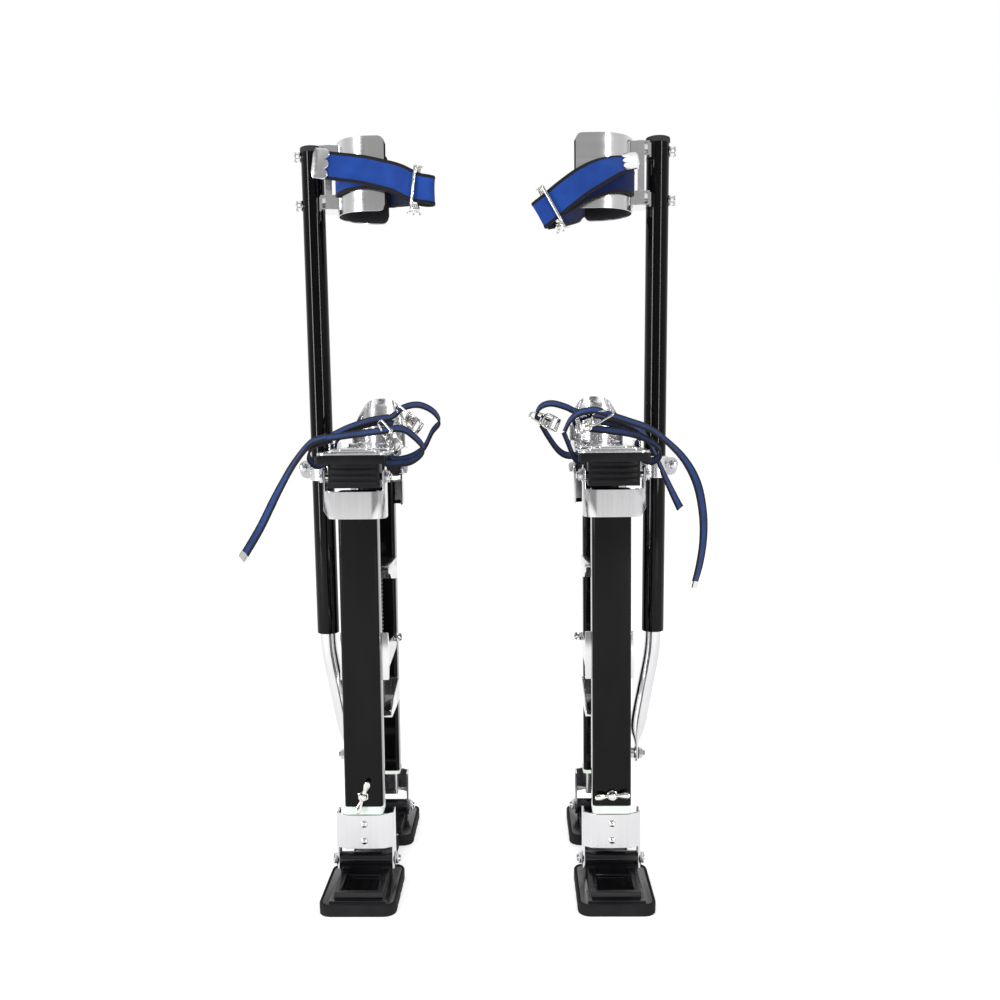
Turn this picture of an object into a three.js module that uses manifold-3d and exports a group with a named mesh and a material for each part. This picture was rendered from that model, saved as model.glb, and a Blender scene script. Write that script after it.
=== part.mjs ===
// A pair of drywall stilts at their lowest setting: 24 inch foot plates on two sprung, telescoping
// uprights each, with a leg pole, a calf cuff and straps. Millimetres, +Z up, floor at z = 0.
// The toe side faces -Y, the heel side +Y. Each stilt is drawn in its own frame: u (the x of these
// helpers) points outboard, towards its leg pole, and y = 0 is the middle of its sole. The stilt on
// the +X side uses that frame as it is, and the one on the -X side is its mirror image.
import * as THREE from "three";
import { mergeVertices } from "three/addons/utils/BufferGeometryUtils.js";
import Module from "manifold-3d";

const wasm = await Module();
wasm.setup();

// ---- driving dimensions ----
const PAIR_SPACING = 343.4; // between the centre planes of the two stilts
const GAP = 0.35; // clearance between touching pieces
const SHEET = 3; // bracket and deck sheet
const PIVOT_SPACING = 191; // front pivot to rear pivot, the long side of the parallelogram
const FRONT_Y = -74; // front upright's centre
const REAR_Y = FRONT_Y + PIVOT_SPACING;
const LOWER_PIVOT_Z = 37;
const UPPER_PIVOT_Z = 575;
const PIVOT_R = 5; // pivot bolts
const HEIGHT_TRAVEL = 406; // 24 inch to 40 inch foot height
const HEIGHT_STEP = 50.75; // between the height holes

const SOLE = { length: 340, half: 51.5, corner: 16, waist: 31, lobeFront: 124, lobeRear: 123 };
const RUBBER_TOP = 8;
const PLATE_TOP = 15;
const OUTER = { half: 26.6, depth: 16.5, wall: 1.7, corner: 5 }; // outer tube section
const INNER = { half: 23.4, depth: 13.4, wall: 1.6, corner: 3.5 }; // inner tube section
const TUBE_TOP = 556;
const FRONT_OUTER_BOTTOM = 118;
const REAR_OUTER_BOTTOM = 95;
const WING_BOLT_Z = 134;

const HEEL_U = -7; // the heel cup sits a little inboard
const DECK = { bottom: 606.3, top: 609.5, half: 47, front: -130, back: 138 };
const POLE = { r: 17, wall: 1.6, bottom: 318, top: 1062, uBottom: 82.7, uTop: 88.5, y: REAR_Y };
// The poles are pushed into their yokes by hand, and the right one stands a little higher.
const POLE_TOP = { left: POLE.top, right: POLE.top + 7 };
const STRUT_R = 12.7;
const STRUT_WALL = 2;
const STRUT_EYE = { u: 57, z: 121 };
const SPRING = { y: 22, r: 17, bore: 12.5, rod: 5 };
const CUFF = { bottom: 955, top: 1062, r: 55, u: -5, y: 115, wall: 2.5, pad: 5 };
const CUFF_ARMS = { left: { near: -27, far: -18 }, right: { near: -38, far: -18 } }; // where the arms end

const FINISH = {
  rubber: { color: 0x17181a, roughness: 0.9, metalness: 0 },
  casting: { color: 0x1b1c1e, roughness: 0.5, metalness: 0.2 },
  gloss_black: { color: 0x0b0b0d, roughness: 0.12, metalness: 0.3 },
  aluminium: { color: 0xc9cbcd, roughness: 0.35, metalness: 0.9 },
  steel: { color: 0xb8bcc0, roughness: 0.3, metalness: 1 },
  spring: { color: 0x1a1a1c, roughness: 0.35, metalness: 0.6 },
  foam: { color: 0x1a1a1b, roughness: 0.95, metalness: 0 },
  webbing: { color: 0x1d4fae, roughness: 0.85, metalness: 0 },
};

// ---- solids ----
function solid(geometry) {
  const g = geometry.index ? geometry.toNonIndexed() : geometry;
  g.deleteAttribute("normal");
  g.deleteAttribute("uv");
  const merged = mergeVertices(g, 1e-4);
  return new wasm.Manifold(
    new wasm.Mesh({
      numProp: 3,
      vertProperties: new Float32Array(merged.attributes.position.array),
      triVerts: new Uint32Array(merged.index.array),
    }),
  );
}

function box(x0, x1, y0, y1, z0, z1) {
  const g = new THREE.BoxGeometry(x1 - x0, y1 - y0, z1 - z0);
  return solid(g.translate((x0 + x1) / 2, (y0 + y1) / 2, (z0 + z1) / 2));
}

// A cylinder from a to b along the x, y or z axis, through the point at.
function rod(axis, r, a, b, at, sides = 16) {
  const g = new THREE.CylinderGeometry(r, r, b - a, sides);
  if (axis === "x") g.rotateZ(-Math.PI / 2);
  if (axis === "z") g.rotateX(Math.PI / 2);
  const middle = new THREE.Vector3(...at).setComponent("xyz".indexOf(axis), (a + b) / 2);
  return solid(g.translate(middle.x, middle.y, middle.z));
}

// A flat outline in x and y, raised from z0 to z1.
function raised(shape, z0, z1, curve = 2) {
  const g = new THREE.ExtrudeGeometry(shape, {
    depth: z1 - z0,
    bevelEnabled: false,
    curveSegments: curve,
  });
  return solid(g.translate(0, 0, z0));
}

// An outline in y and z, spread from x0 to x1.
function spread(shape, x0, x1, curve = 3) {
  const g = new THREE.ExtrudeGeometry(shape, {
    depth: x1 - x0,
    bevelEnabled: false,
    curveSegments: curve,
  });
  g.applyMatrix4(new THREE.Matrix4().set(0, 0, 1, x0, 1, 0, 0, 0, 0, 1, 0, 0, 0, 0, 0, 1));
  return solid(g);
}

// An outline in x and z, spread from y0 to y1.
function swept(shape, y0, y1, curve = 3) {
  const g = new THREE.ExtrudeGeometry(shape, {
    depth: y1 - y0,
    bevelEnabled: false,
    curveSegments: curve,
  });
  return solid(g.rotateX(Math.PI / 2).translate(0, y1, 0));
}

function polygon(points) {
  return new THREE.Shape(points.map(([x, y]) => new THREE.Vector2(x, y)));
}

function roundedRect(x0, x1, y0, y1, r) {
  const s = new THREE.Shape();
  s.moveTo(x0 + r, y0);
  s.lineTo(x1 - r, y0);
  s.absarc(x1 - r, y0 + r, r, -Math.PI / 2, 0);
  s.lineTo(x1, y1 - r);
  s.absarc(x1 - r, y1 - r, r, 0, Math.PI / 2);
  s.lineTo(x0 + r, y1);
  s.absarc(x0 + r, y1 - r, r, Math.PI / 2, Math.PI);
  s.lineTo(x0, y0 + r);
  s.absarc(x0 + r, y0 + r, r, Math.PI, Math.PI * 1.5);
  return s;
}

const join = (...all) => all.reduce((sum, one) => sum.add(one));
const cut = (from, ...tools) => tools.reduce((rest, tool) => rest.subtract(tool), from);

// ---- building blocks ----
// A rectangular tube standing at y, open at both ends.
function tube(section, y, z0, z1) {
  const { half, depth, wall, corner } = section;
  const outside = roundedRect(-half, half, y - depth, y + depth, corner);
  const inside = roundedRect(
    -half + wall,
    half - wall,
    y - depth + wall,
    y + depth - wall,
    corner - wall / 2,
  );
  return cut(raised(outside, z0, z1, 2), raised(inside, z0 - 1, z1 + 1, 1));
}

// A hex bolt along x with its head at the outboard end and its nut at the inboard end.
function pivotBolt(y, z, uNut, uHead) {
  const at = [0, y, z];
  return join(
    rod("x", PIVOT_R, uNut - 6, uHead + 3, at, 12),
    rod("x", 8, uHead, uHead + 5.5, at, 6),
    rod("x", 8, uNut - 5, uNut, at, 6),
  );
}

// The pressed clevis at the end of an upright, in plan: a bowed web that lies on the tube's face,
// two slanted shoulders, and two wings that run back past the pivot.
function clevisPlan(y, web, wingOut, wingIn, back, bow) {
  const face = y - web.depth;
  const s = new THREE.Shape();
  s.moveTo(wingOut, y + back);
  s.lineTo(wingOut, face + 7);
  s.lineTo(web.half + 2, face - SHEET);
  s.quadraticCurveTo(0, face - SHEET - bow, -web.half - 2, face - SHEET);
  s.lineTo(-wingIn, face + 7);
  s.lineTo(-wingIn, y + back);
  s.lineTo(-wingIn + SHEET, y + back);
  s.lineTo(-wingIn + SHEET, face + 8.5);
  s.lineTo(-web.half, face);
  s.lineTo(web.half, face);
  s.lineTo(wingOut - SHEET, face + 8.5);
  s.lineTo(wingOut - SHEET, y + back);
  return s;
}

// The same clevis from the side: full depth over the tube, then a round eye about the pivot.
function clevisSide(y, pivotZ, webZ, endZ, front, eye) {
  const up = Math.sign(pivotZ - endZ);
  const s = new THREE.Shape();
  s.moveTo(y - front, endZ);
  s.lineTo(y - front, webZ);
  s.lineTo(y - eye, webZ);
  s.lineTo(y - eye, pivotZ);
  s.absarc(y, pivotZ, eye, Math.PI, 0, up > 0);
  s.lineTo(y + eye, endZ);
  return s;
}

// ---- the standing plate ----
function soleOutline(inset) {
  const { length, half, corner, waist, lobeFront, lobeRear } = SOLE;
  const end = length / 2 - inset;
  const side = half - inset;
  const neck = waist - inset;
  const front = -length / 2 + lobeFront - inset;
  const rear = length / 2 - lobeRear + inset;
  const r = corner - inset;
  const s = new THREE.Shape();
  s.moveTo(-side + r, -end);
  s.lineTo(side - r, -end);
  s.absarc(side - r, -end + r, r, -Math.PI / 2, 0);
  s.lineTo(side, front - r);
  s.absarc(side - r, front - r, r, 0, Math.PI / 2);
  s.lineTo(neck, front);
  s.lineTo(neck, rear);
  s.lineTo(side - r, rear);
  s.absarc(side - r, rear + r, r, -Math.PI / 2, 0);
  s.lineTo(side, end - r);
  s.absarc(side - r, end - r, r, 0, Math.PI / 2);
  s.lineTo(-side + r, end);
  s.absarc(-side + r, end - r, r, Math.PI / 2, Math.PI);
  s.lineTo(-side, rear + r);
  s.absarc(-side + r, rear + r, r, Math.PI, Math.PI * 1.5);
  s.lineTo(-neck, rear);
  s.lineTo(-neck, front);
  s.lineTo(-side + r, front);
  s.absarc(-side + r, front - r, r, Math.PI / 2, Math.PI);
  s.lineTo(-side, -end + r);
  s.absarc(-side + r, -end + r, r, Math.PI, Math.PI * 1.5);
  return s;
}

function rubberSole() {
  const grooves = [-138, -108, -78, 78, 108, 138].map((y) =>
    box(-60, 60, y - 3, y + 3, -1, 2.2),
  );
  return cut(raised(soleOutline(0), 0, RUBBER_TOP, 2), ...grooves);
}

function floorPlate() {
  const railTop = 25;
  const parts = [raised(soleOutline(1.5), RUBBER_TOP + GAP, PLATE_TOP, 2)];
  for (const pivot of [FRONT_Y, REAR_Y]) {
    parts.push(rod("x", 9.5, -36.4, 36.4, [0, pivot, LOWER_PIVOT_Z], 16));
    parts.push(box(-36.4, 36.4, pivot - 6, pivot + 6, PLATE_TOP - 1, LOWER_PIVOT_Z));
  }
  for (const [near, far] of [[-152, -60], [62, 152]])
    for (const side of [-1, 1]) {
      const edges = [side * 24, side * 33].sort((a, b) => a - b);
      parts.push(box(...edges, near, far, PLATE_TOP - 1, railTop));
    }
  for (const side of [-1, 1]) {
    const edges = [side * 145, side * 152].sort((a, b) => a - b);
    parts.push(box(-33, 33, ...edges, PLATE_TOP - 1, railTop));
  }
  parts.push(box(-38, 38, -162, -155.5, PLATE_TOP - 1, PLATE_TOP + 2.4));
  const pocket = raised(roundedRect(-22, 22, -144, -82, 5), PLATE_TOP - 4, railTop, 2);
  const bores = [FRONT_Y, REAR_Y].map((y) =>
    rod("x", PIVOT_R + GAP, -60, 60, [0, y, LOWER_PIVOT_Z], 12),
  );
  return cut(join(...parts), pocket, ...bores);
}

// ---- uprights ----
const LOWER_WEB = { half: 20.5, depth: INNER.depth + GAP };
const UPPER_WEB = { half: 27.2, depth: OUTER.depth + GAP };
const WING = 40; // half width over the wings
const FRONT_WING = { inboard: 38, outboard: 46.5 }; // the front upper clevis is wider outboard

// The lower clevis. The rear one is turned about, so that its web lies on the heel side.
function lowerBracket(y, top, turned) {
  const webBottom = 58;
  const plan = clevisPlan(y, LOWER_WEB, WING, WING, 14.5, 1.2);
  const side = clevisSide(y, LOWER_PIVOT_Z, webBottom, top, 20, 14.5);
  const body = raised(plan, 10, top, 4).intersect(spread(side, -60, 60, 5));
  const face = y - LOWER_WEB.depth - SHEET;
  const rivets = [top - 13, webBottom + 11].map((z) =>
    rod("y", 4.6, face - 2.5, face + 1, [0, 0, z], 10),
  );
  const inside = WING - SHEET;
  const gape = box(-inside, inside, y - 30, y + 30, 0, webBottom - 1);
  const bore = rod("x", PIVOT_R + GAP, -60, 60, [0, y, LOWER_PIVOT_Z], 12);
  const bracket = cut(join(body, ...rivets), gape, bore);
  return turned ? bracket.translate([0, -y, 0]).rotate([0, 0, 180]).translate([0, y, 0]) : bracket;
}

function innerTube(y, bottom) {
  const holes = [];
  for (let i = 0; i * HEIGHT_STEP <= HEIGHT_TRAVEL; i++) {
    const z = WING_BOLT_Z + i * HEIGHT_STEP;
    holes.push(rod("y", 4.2, y - 20, y, [0, 0, z], 6));
  }
  return cut(tube(INNER, y, bottom, TUBE_TOP - 3), ...holes);
}

function outerTube(y, bottom, boltHole) {
  const pipe = tube(OUTER, y, bottom, TUBE_TOP);
  return boltHole ? cut(pipe, rod("y", 4.4, y - 20, y, [0, 0, WING_BOLT_Z], 10)) : pipe;
}

// The upper clevis: a band round the tube's face, with wings up to the pivot. Its lower corners
// are cut on a slant. The rear one is turned about, so that its web lies on the heel side.
function upperBracket(y, turned) {
  const bandTop = 556;
  const bottom = 519;
  const { inboard, outboard } = turned ? { inboard: WING, outboard: WING } : FRONT_WING;
  const plan = clevisPlan(0, UPPER_WEB, outboard, inboard, 15, 2.5);
  const side = clevisSide(0, UPPER_PIVOT_Z, bandTop, bottom, 26, 15);
  let body = raised(plan, bottom - 10, UPPER_PIVOT_Z + 30, 6).intersect(spread(side, -60, 60, 5));
  for (const s of [-1, 1]) {
    const slant = [
      [s * 50, bottom - 5],
      [s * 50, bottom + 16],
      [s * 30, bottom - 12],
    ];
    body = cut(body, swept(polygon(s > 0 ? slant : slant.reverse()), -40, 40));
  }
  if (turned) {
    for (const s of [-1, 1]) {
      const edges = [s * 28.5, s * (WING - 1)].sort((a, b) => a - b);
      body = join(body, box(...edges, 12, 15, bottom + 9, UPPER_PIVOT_Z - 14));
    }
    body = body.rotate([0, 0, 180]);
  }
  body = cut(body, box(SHEET - inboard, outboard - SHEET, -40, 40, bandTop + 1, UPPER_PIVOT_Z + 40));
  body = body.translate([0, y, 0]);
  return cut(body, rod("x", PIVOT_R + GAP, -60, 60, [0, y, UPPER_PIVOT_Z], 12));
}

// A wing bolt along y, with its wings turned by the given angle.
const WING_BOLT_TIP = FRONT_Y - INNER.depth - GAP;
function wingBolt(turn) {
  const face = FRONT_Y - OUTER.depth - GAP;
  const wing = new THREE.Shape();
  wing.moveTo(0, -4.5);
  wing.quadraticCurveTo(12, -5, 19, -7);
  wing.quadraticCurveTo(23, 0, 18, 6.5);
  wing.quadraticCurveTo(10, 6, 0, 4.5);
  const ear = swept(wing, face - 9.5, face - 5, 3);
  const parts = [
    rod("y", 7, face - 10, face, [0, 0, 0], 12),
    rod("y", 3.6, face - 4, WING_BOLT_TIP, [0, 0, 0], 10),
    ear,
    ear.rotate([0, 180, 0]),
  ];
  return join(...parts).rotate([0, turn, 0]).translate([0, 0, WING_BOLT_Z]);
}

// ---- the swing's springs ----
// The front upright carries a shelf with two cheeks, and the rear one a frame with a rod. One
// spring works above the shelf and one below it.
const SHELF = { bottom: 316, top: 322 };
const FRAME = { bottom: 216, top: 440, plate: 6 };

function springShelf() {
  const back = FRONT_Y + OUTER.depth + GAP;
  const reach = SPRING.y + SPRING.r + 3;
  const cheek = polygon([
    [back, 288], [back + 6, 290], [back + 11, 304], [reach - 6, 312], [reach, 318],
    [reach, 332], [back + 12, 340], [back + 6, 353], [back, 355],
  ]);
  const slot = roundedRect(-6.2, 6.2, SPRING.y - 10.5, SPRING.y + 6.6, 6);
  const parts = [
    box(-34, 34, back, back + SHEET, 288, 355),
    box(-34, 34, back, reach, SHELF.bottom, SHELF.top),
    spread(cheek, 31, 34),
    spread(cheek, -34, -31),
  ];
  return cut(join(...parts), raised(slot, SHELF.bottom - 1, SHELF.top + 1, 2));
}

function springFrame() {
  const back = REAR_Y - OUTER.depth - GAP;
  const reach = SPRING.y - SPRING.r - 3;
  const { bottom, top, plate } = FRAME;
  const gusset = [[0, 0], [0, 11], [14, 14], [24, 22], [back - reach, 34], [back - reach, 0]];
  const upper = polygon(gusset.map(([y, drop]) => [reach + y, top - drop]));
  const lower = polygon(gusset.map(([y, drop]) => [reach + y, bottom + drop]).reverse());
  return join(
    box(-30, 30, reach, back, top - plate, top),
    box(-30, 30, reach, back, bottom, bottom + plate),
    box(-30, 30, back - SHEET, back, top - 34, top),
    box(-30, 30, back - SHEET, back, bottom, bottom + 34),
    ...[upper, lower].flatMap((cheek) => [spread(cheek, 27, 30), spread(cheek, -30, -27)]),
    rod("z", SPRING.rod, bottom - 9, top + 12, [0, SPRING.y, 0], 10),
    rod("z", 9, top, top + 7, [0, SPRING.y, 0], 6),
    rod("z", 9, bottom - 7, bottom, [0, SPRING.y, 0], 6),
  );
}

function springSleeve(z0, z1) {
  const at = [0, SPRING.y, 0];
  return cut(rod("z", SPRING.r, z0, z1, at, 14), rod("z", SPRING.bore, z0 - 1, z1 + 1, at, 10));
}

// ---- the foot platform ----
function hingeFrame() {
  const top = DECK.bottom - GAP;
  const block = box(-31, 38, FRONT_Y - 15, FRONT_Y + 15, 560.5, top);
  const hollow = box(-26, 33, FRONT_Y - 10, FRONT_Y + 10, 550, 592);
  const parts = [
    raised(roundedRect(-DECK.half, DECK.half, DECK.front - 4, DECK.front + 4, 3.5), 595, top, 2),
    cut(block, hollow),
    box(-33, 33, REAR_Y - 11, REAR_Y + 11, 564, top),
    box(-36, 36, FRONT_Y - 15, REAR_Y + 11, 597, 600),
  ];
  for (const u of [-36, 30]) parts.push(box(u, u + 6, DECK.front, DECK.back - 8, 596, top));
  for (const z of [565, 573, 581, 589])
    parts.push(box(-27, 34, FRONT_Y - 18, FRONT_Y - 14, z, z + 4.5));
  parts.push(rod("x", 11, -36.4, 36.4, [0, REAR_Y, UPPER_PIVOT_Z], 14));
  const bores = [FRONT_Y, REAR_Y].map((y) =>
    rod("x", PIVOT_R + GAP, -60, 60, [0, y, UPPER_PIVOT_Z], 12),
  );
  return cut(join(...parts), ...bores);
}

// The deck has a turned-up flange along each side, with a slot for each foot strap.
function footPlate() {
  const { bottom, top, half, front, back } = DECK;
  const sheet = raised(roundedRect(-half, half, front, back, 12), bottom, top, 2);
  const flanges = [-1, 1].map((s) => {
    const edges = [s * (half - 2.5), s * half].sort((a, b) => a - b);
    return box(...edges, -30, 56, bottom, top + 9);
  });
  const slots = [-85, -10].flatMap((y) =>
    [-1, 1].map((s) => {
      const edges = [s * 38.5, s * 43].sort((a, b) => a - b);
      return box(...edges, y - 11.5, y + 11.5, bottom - 1, top + 1);
    }),
  );
  return cut(join(sheet, ...flanges), ...slots);
}

// The heel cup slides on the deck on its own base, and its wall wraps the heel.
function heelCup() {
  const base = DECK.top + GAP;
  const wall = new THREE.Shape();
  wall.moveTo(40, 88);
  wall.absarc(0, 98, 40, 0, Math.PI);
  wall.lineTo(-40, 88);
  wall.lineTo(-37.5, 88);
  wall.absarc(0, 98, 37.5, Math.PI, 0, true);
  wall.lineTo(37.5, 88);
  const rise = new THREE.Shape();
  rise.moveTo(-41, base);
  rise.lineTo(-41, 642);
  rise.quadraticCurveTo(-38, 652, -31, 664);
  rise.quadraticCurveTo(-22, 683, -8, 683);
  rise.lineTo(8, 683);
  rise.quadraticCurveTo(22, 683, 31, 664);
  rise.quadraticCurveTo(38, 652, 41, 642);
  rise.lineTo(41, base);
  const shell = raised(wall, base, 690, 9).intersect(swept(rise, 80, 145, 4));
  const sole = cut(
    raised(roundedRect(-36.5, 38, -58, 110, 8), base, base + SHEET, 2),
    ...[-20, 20].map((u) => raised(roundedRect(u - 4, u + 4, -40, 60, 3.9), base - 1, base + 5, 2)),
  );
  const cup = join(sole, shell, raised(heelFill(), base, base + SHEET, 9));
  return cup.translate([HEEL_U, 0, 0]);
}

function heelFill() {
  const s = new THREE.Shape();
  s.moveTo(38.5, 90);
  s.absarc(0, 98, 38.5, 0, Math.PI);
  s.lineTo(-38.5, 90);
  return s;
}

// ---- webbing ----
// A flat strap swept along a curve of u, y, z points. Its width lies along the axis across, and may
// change from one end to the other; its thickness is square to both.
function ribbon(points, across, width, thick, steps) {
  const path = new THREE.CatmullRomCurve3(points.map((p) => new THREE.Vector3(...p)));
  const corners = [];
  for (let i = 0; i <= steps; i++) {
    const at = path.getPointAt(i / steps);
    const face = across.clone().cross(path.getTangentAt(i / steps)).setLength(thick / 2);
    const side = across.clone().setLength(width(i / steps) / 2);
    for (const [s, f] of [[-1, -1], [1, -1], [1, 1], [-1, 1]])
      corners.push(at.clone().addScaledVector(side, s).addScaledVector(face, f));
  }
  const faces = [0, 1, 2, 0, 2, 3];
  for (let i = 0; i < steps; i++)
    for (let k = 0; k < 4; k++) {
      const [a, b] = [i * 4 + k, i * 4 + ((k + 1) % 4)];
      faces.push(a, a + 4, b, b, a + 4, b + 4);
    }
  const end = steps * 4;
  faces.push(end, end + 2, end + 1, end, end + 3, end + 2);
  const g = new THREE.BufferGeometry().setFromPoints(corners);
  g.setIndex(faces);
  return solid(g);
}

const WEB = 2; // webbing thickness
const FOOT_WEB_WIDTH = 20;
function footStrap(y, run) {
  const points = run.map(([u, z]) => [u, y, z]);
  return ribbon(points, new THREE.Vector3(0, 1, 0), () => FOOT_WEB_WIDTH, WEB, run.length * 2);
}

function toeStrap(tail) {
  const over = [[60, 621], [17, 630], [-31, 636], [-60, 638], [-77, 629], [-88, 613], [-78, 599]];
  return footStrap(-85, [...tail, ...over, [-66, 594.5], [-49.5, 593]]);
}

function ankleStrap() {
  const rise = [[40.7, 604], [40, 616], [30, 632], [4, 650], [-37, 656], [-57, 669], [-76, 672]];
  return footStrap(-10, [...rise, [-96, 663], [-104, 648], [-96, 628], [-82, 609], [-68, 597], [-49, 593.5]]);
}

// ---- the leg pole, its strut and the yoke ----
function poleAt(z) {
  const { bottom, top, uBottom, uTop } = POLE;
  return uBottom + ((uTop - uBottom) * (z - bottom)) / (top - bottom);
}

function legPole(name) {
  const { r, wall, bottom, y } = POLE;
  const length = POLE_TOP[name] - bottom;
  const profile = [
    [r - wall, 0], [r, 0], [r, length - 10], [r + 1.2, length - 9.5], [r + 1.2, length - 3],
    [r - 2, length - 0.6], [0, length], [0, length - 5], [r - wall, length - 5],
  ].map(([x, h]) => new THREE.Vector2(x, h));
  profile.push(profile[0].clone());
  const g = new THREE.LatheGeometry(profile, 20).rotateX(Math.PI / 2);
  const lean = Math.atan((POLE.uTop - POLE.uBottom) / (POLE.top - bottom));
  const pole = solid(g.rotateY(lean).translate(POLE.uBottom, y, bottom));
  const yokeBore = rod("x", PIVOT_R + GAP, 50, 130, [0, y, UPPER_PIVOT_Z], 10);
  const cuffBores = CUFF_BRACKETS.map(([a, b]) => rod("x", 4 + GAP, 50, 130, [0, y, (a + b) / 2], 10));
  return cut(pole, yokeBore, ...cuffBores);
}

// The strut telescopes in the pole, bends inboard and ends in a flattened eye, bolted through a
// spacer to the outboard side of the rear upright.
function strutTube() {
  const y = POLE.y;
  const pipe = (r, points, steps) => {
    const round = new THREE.Shape().absarc(0, 0, r, 0, Math.PI * 2);
    const extrudePath = new THREE.CatmullRomCurve3(points.map(([u, z]) => new THREE.Vector3(u, y, z)));
    return solid(new THREE.ExtrudeGeometry(round, { steps, curveSegments: 6, extrudePath }));
  };
  const straight = [[poleAt(430), 430], [poleAt(330), 330]];
  const bend = [[poleAt(318) - 0.5, 300], [78.5, 270], [69, 220], [61.5, 176]];
  const foot = [[58.2, 152], [57, 140]];
  const { u, z } = STRUT_EYE;
  const flat = spread(roundedRect(y - 14, y + 14, z - 14, z + 44, 13), u - 3.5, u + 3.5, 3);
  const swage = cut(
    pipe(STRUT_R, [...straight, ...bend, ...foot], 14),
    pipe(STRUT_R - STRUT_WALL, [[poleAt(434), 434], straight[1], ...bend], 12),
    box(u + 8, 120, y - 40, y + 40, 90, 146),
    box(0, u - 8, y - 40, y + 40, 90, 146),
  );
  const at = [0, y, z];
  return join(
    swage,
    flat,
    rod("x", 8.5, OUTER.half + GAP, u - 3, at, 12),
    rod("x", 9, u + 3, u + 8.5, at, 6),
    rod("x", 4.5, u + 3, u + 12.5, at, 8),
  );
}

// The yoke is a collar round the pole and a block against the upper clevis, held by the long bolt
// that is also the rear upper pivot.
function yokeBolt() {
  const y = REAR_Y;
  const z = UPPER_PIVOT_Z;
  const u = poleAt(z);
  const collar = join(
    rod("z", POLE.r + 4, z - 17, z + 16, [u, y, 0], 18),
    box(WING + GAP, u, y - 13, y + 13, z - 17, z + 16),
    box(u, u + 26, y - 12, y + 4, z - 13, z + 12),
    box(u, u + 34, y - 12, y - 6, z - 13, z + 12),
    rod("y", 7, y - 16, y - 6, [u + 27, 0, z + 3], 12),
  );
  const at = [0, y, z];
  return join(
    cut(collar, rod("z", POLE.r + GAP, z - 40, z + 40, [u, y, 0], 20)),
    rod("x", PIVOT_R, -WING - 7, u + 30, at, 12),
    rod("x", 8, u + 25, u + 31, at, 12),
    rod("x", 8, -WING - 5.4, -WING - GAP, at, 6),
  );
}

// ---- the calf cuff ----
const CUFF_BRACKETS = [[964, 985], [1036, 1057]];

function bandPlan(outer, inner, arms) {
  const { u, y } = CUFF;
  const s = new THREE.Shape();
  s.moveTo(arms.near, y - outer);
  s.lineTo(u, y - outer);
  s.absarc(u, y, outer, -Math.PI / 2, Math.PI / 2);
  s.lineTo(arms.far, y + outer);
  s.lineTo(arms.far, y + inner);
  s.lineTo(u, y + inner);
  s.absarc(u, y, inner, Math.PI / 2, -Math.PI / 2, true);
  s.lineTo(arms.near, y - inner);
  return s;
}

function band(outer, inner, arms, z0, z1, corner) {
  const half = (end, y0, y1) => swept(roundedRect(end, 120, z0, z1, corner), y0, y1, 2);
  const cutter = join(half(arms.near, 0, CUFF.y), half(arms.far, CUFF.y, 240));
  return raised(bandPlan(outer, inner, arms), z0, z1, 10).intersect(cutter);
}

function calfCuff(arms) {
  const { r, wall, bottom, top } = CUFF;
  return band(r, r - wall, arms, bottom, top, 9);
}

function cuffPad(arms) {
  const { r, wall, pad, bottom, top } = CUFF;
  const outer = r - wall - GAP;
  const ends = { near: arms.near - 2, far: arms.far - 2 };
  return band(outer, outer - pad, ends, bottom + 1.5, top - 1.5, 10);
}

// Two channels hold the cuff off the pole, joined by a strip, each with a bolt through the pole.
function cuffMount() {
  const { y, u, r } = CUFF;
  const channels = CUFF_BRACKETS.map(([z0, z1]) => {
    const saddle = box(60, poleAt(z0) - 4, y - 12, y + 12, z0, z1);
    const outside = join(box(40, 73, y - 24, y + 20, z0, z1), saddle);
    const hollow = box(56, 70, y - 30, y + 30, z0 + 2.5, z1 - 2.5);
    const middle = (z0 + z1) / 2;
    const at = [0, POLE.y, middle];
    const outer = poleAt(middle) + POLE.r;
    const bolt = join(rod("x", 4, 57, outer + 10, at, 12), rod("x", 7.5, outer + 1.6, outer + 7, at, 6));
    return join(cut(outside, hollow), bolt);
  });
  const strip = box(55, 65, y - 26, y - 23.5, CUFF_BRACKETS[0][0], CUFF_BRACKETS[1][1]);
  const cuffSide = raised(roundedRect(u - r, u + r + GAP, y - r - GAP, y + r + GAP, r), 900, 1100, 12);
  const lean = rod("z", POLE.r + GAP + 0.8, 940, 1064, [poleAt(1010), POLE.y, 0], 20);
  const boltBores = CUFF_BRACKETS.map(([a, b]) => rod("x", 4, 0, 200, [0, POLE.y, (a + b) / 2], 12));
  const poleBody = cut(lean, ...boltBores);
  return cut(join(...channels, strip), cuffSide, poleBody);
}

// The calf strap runs across the front of the cuff, folds through its buckle and goes back in.
function calfStrap() {
  const out = [[58, 58, 1018], [30, 55, 1016], [6, 50, 1011], [-30, 44, 1003], [-60, 36, 989]];
  const fold = [[-84, 30, 979], [-97, 31, 976], [-100, 37, 976], [-93, 46, 976]];
  const back = [[-72, 66, 978], [-52, 90, 982], [-40, 118, 986], [-34, 145, 988]];
  const up = new THREE.Vector3(0, 0, 1);
  return ribbon([...out, ...fold, ...back], up, (t) => (t < 0.5 ? 45 : 42), 3.2, 26);
}

// ---- one stilt ----
const WING_TURN = { left: 70, right: -4 };
const TOE_TAIL = {
  left: [[145, 466], [132, 492], [105, 551], [83, 592]],
  right: [[138, 421], [142, 483], [118, 560], [83, 604]],
};

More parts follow.
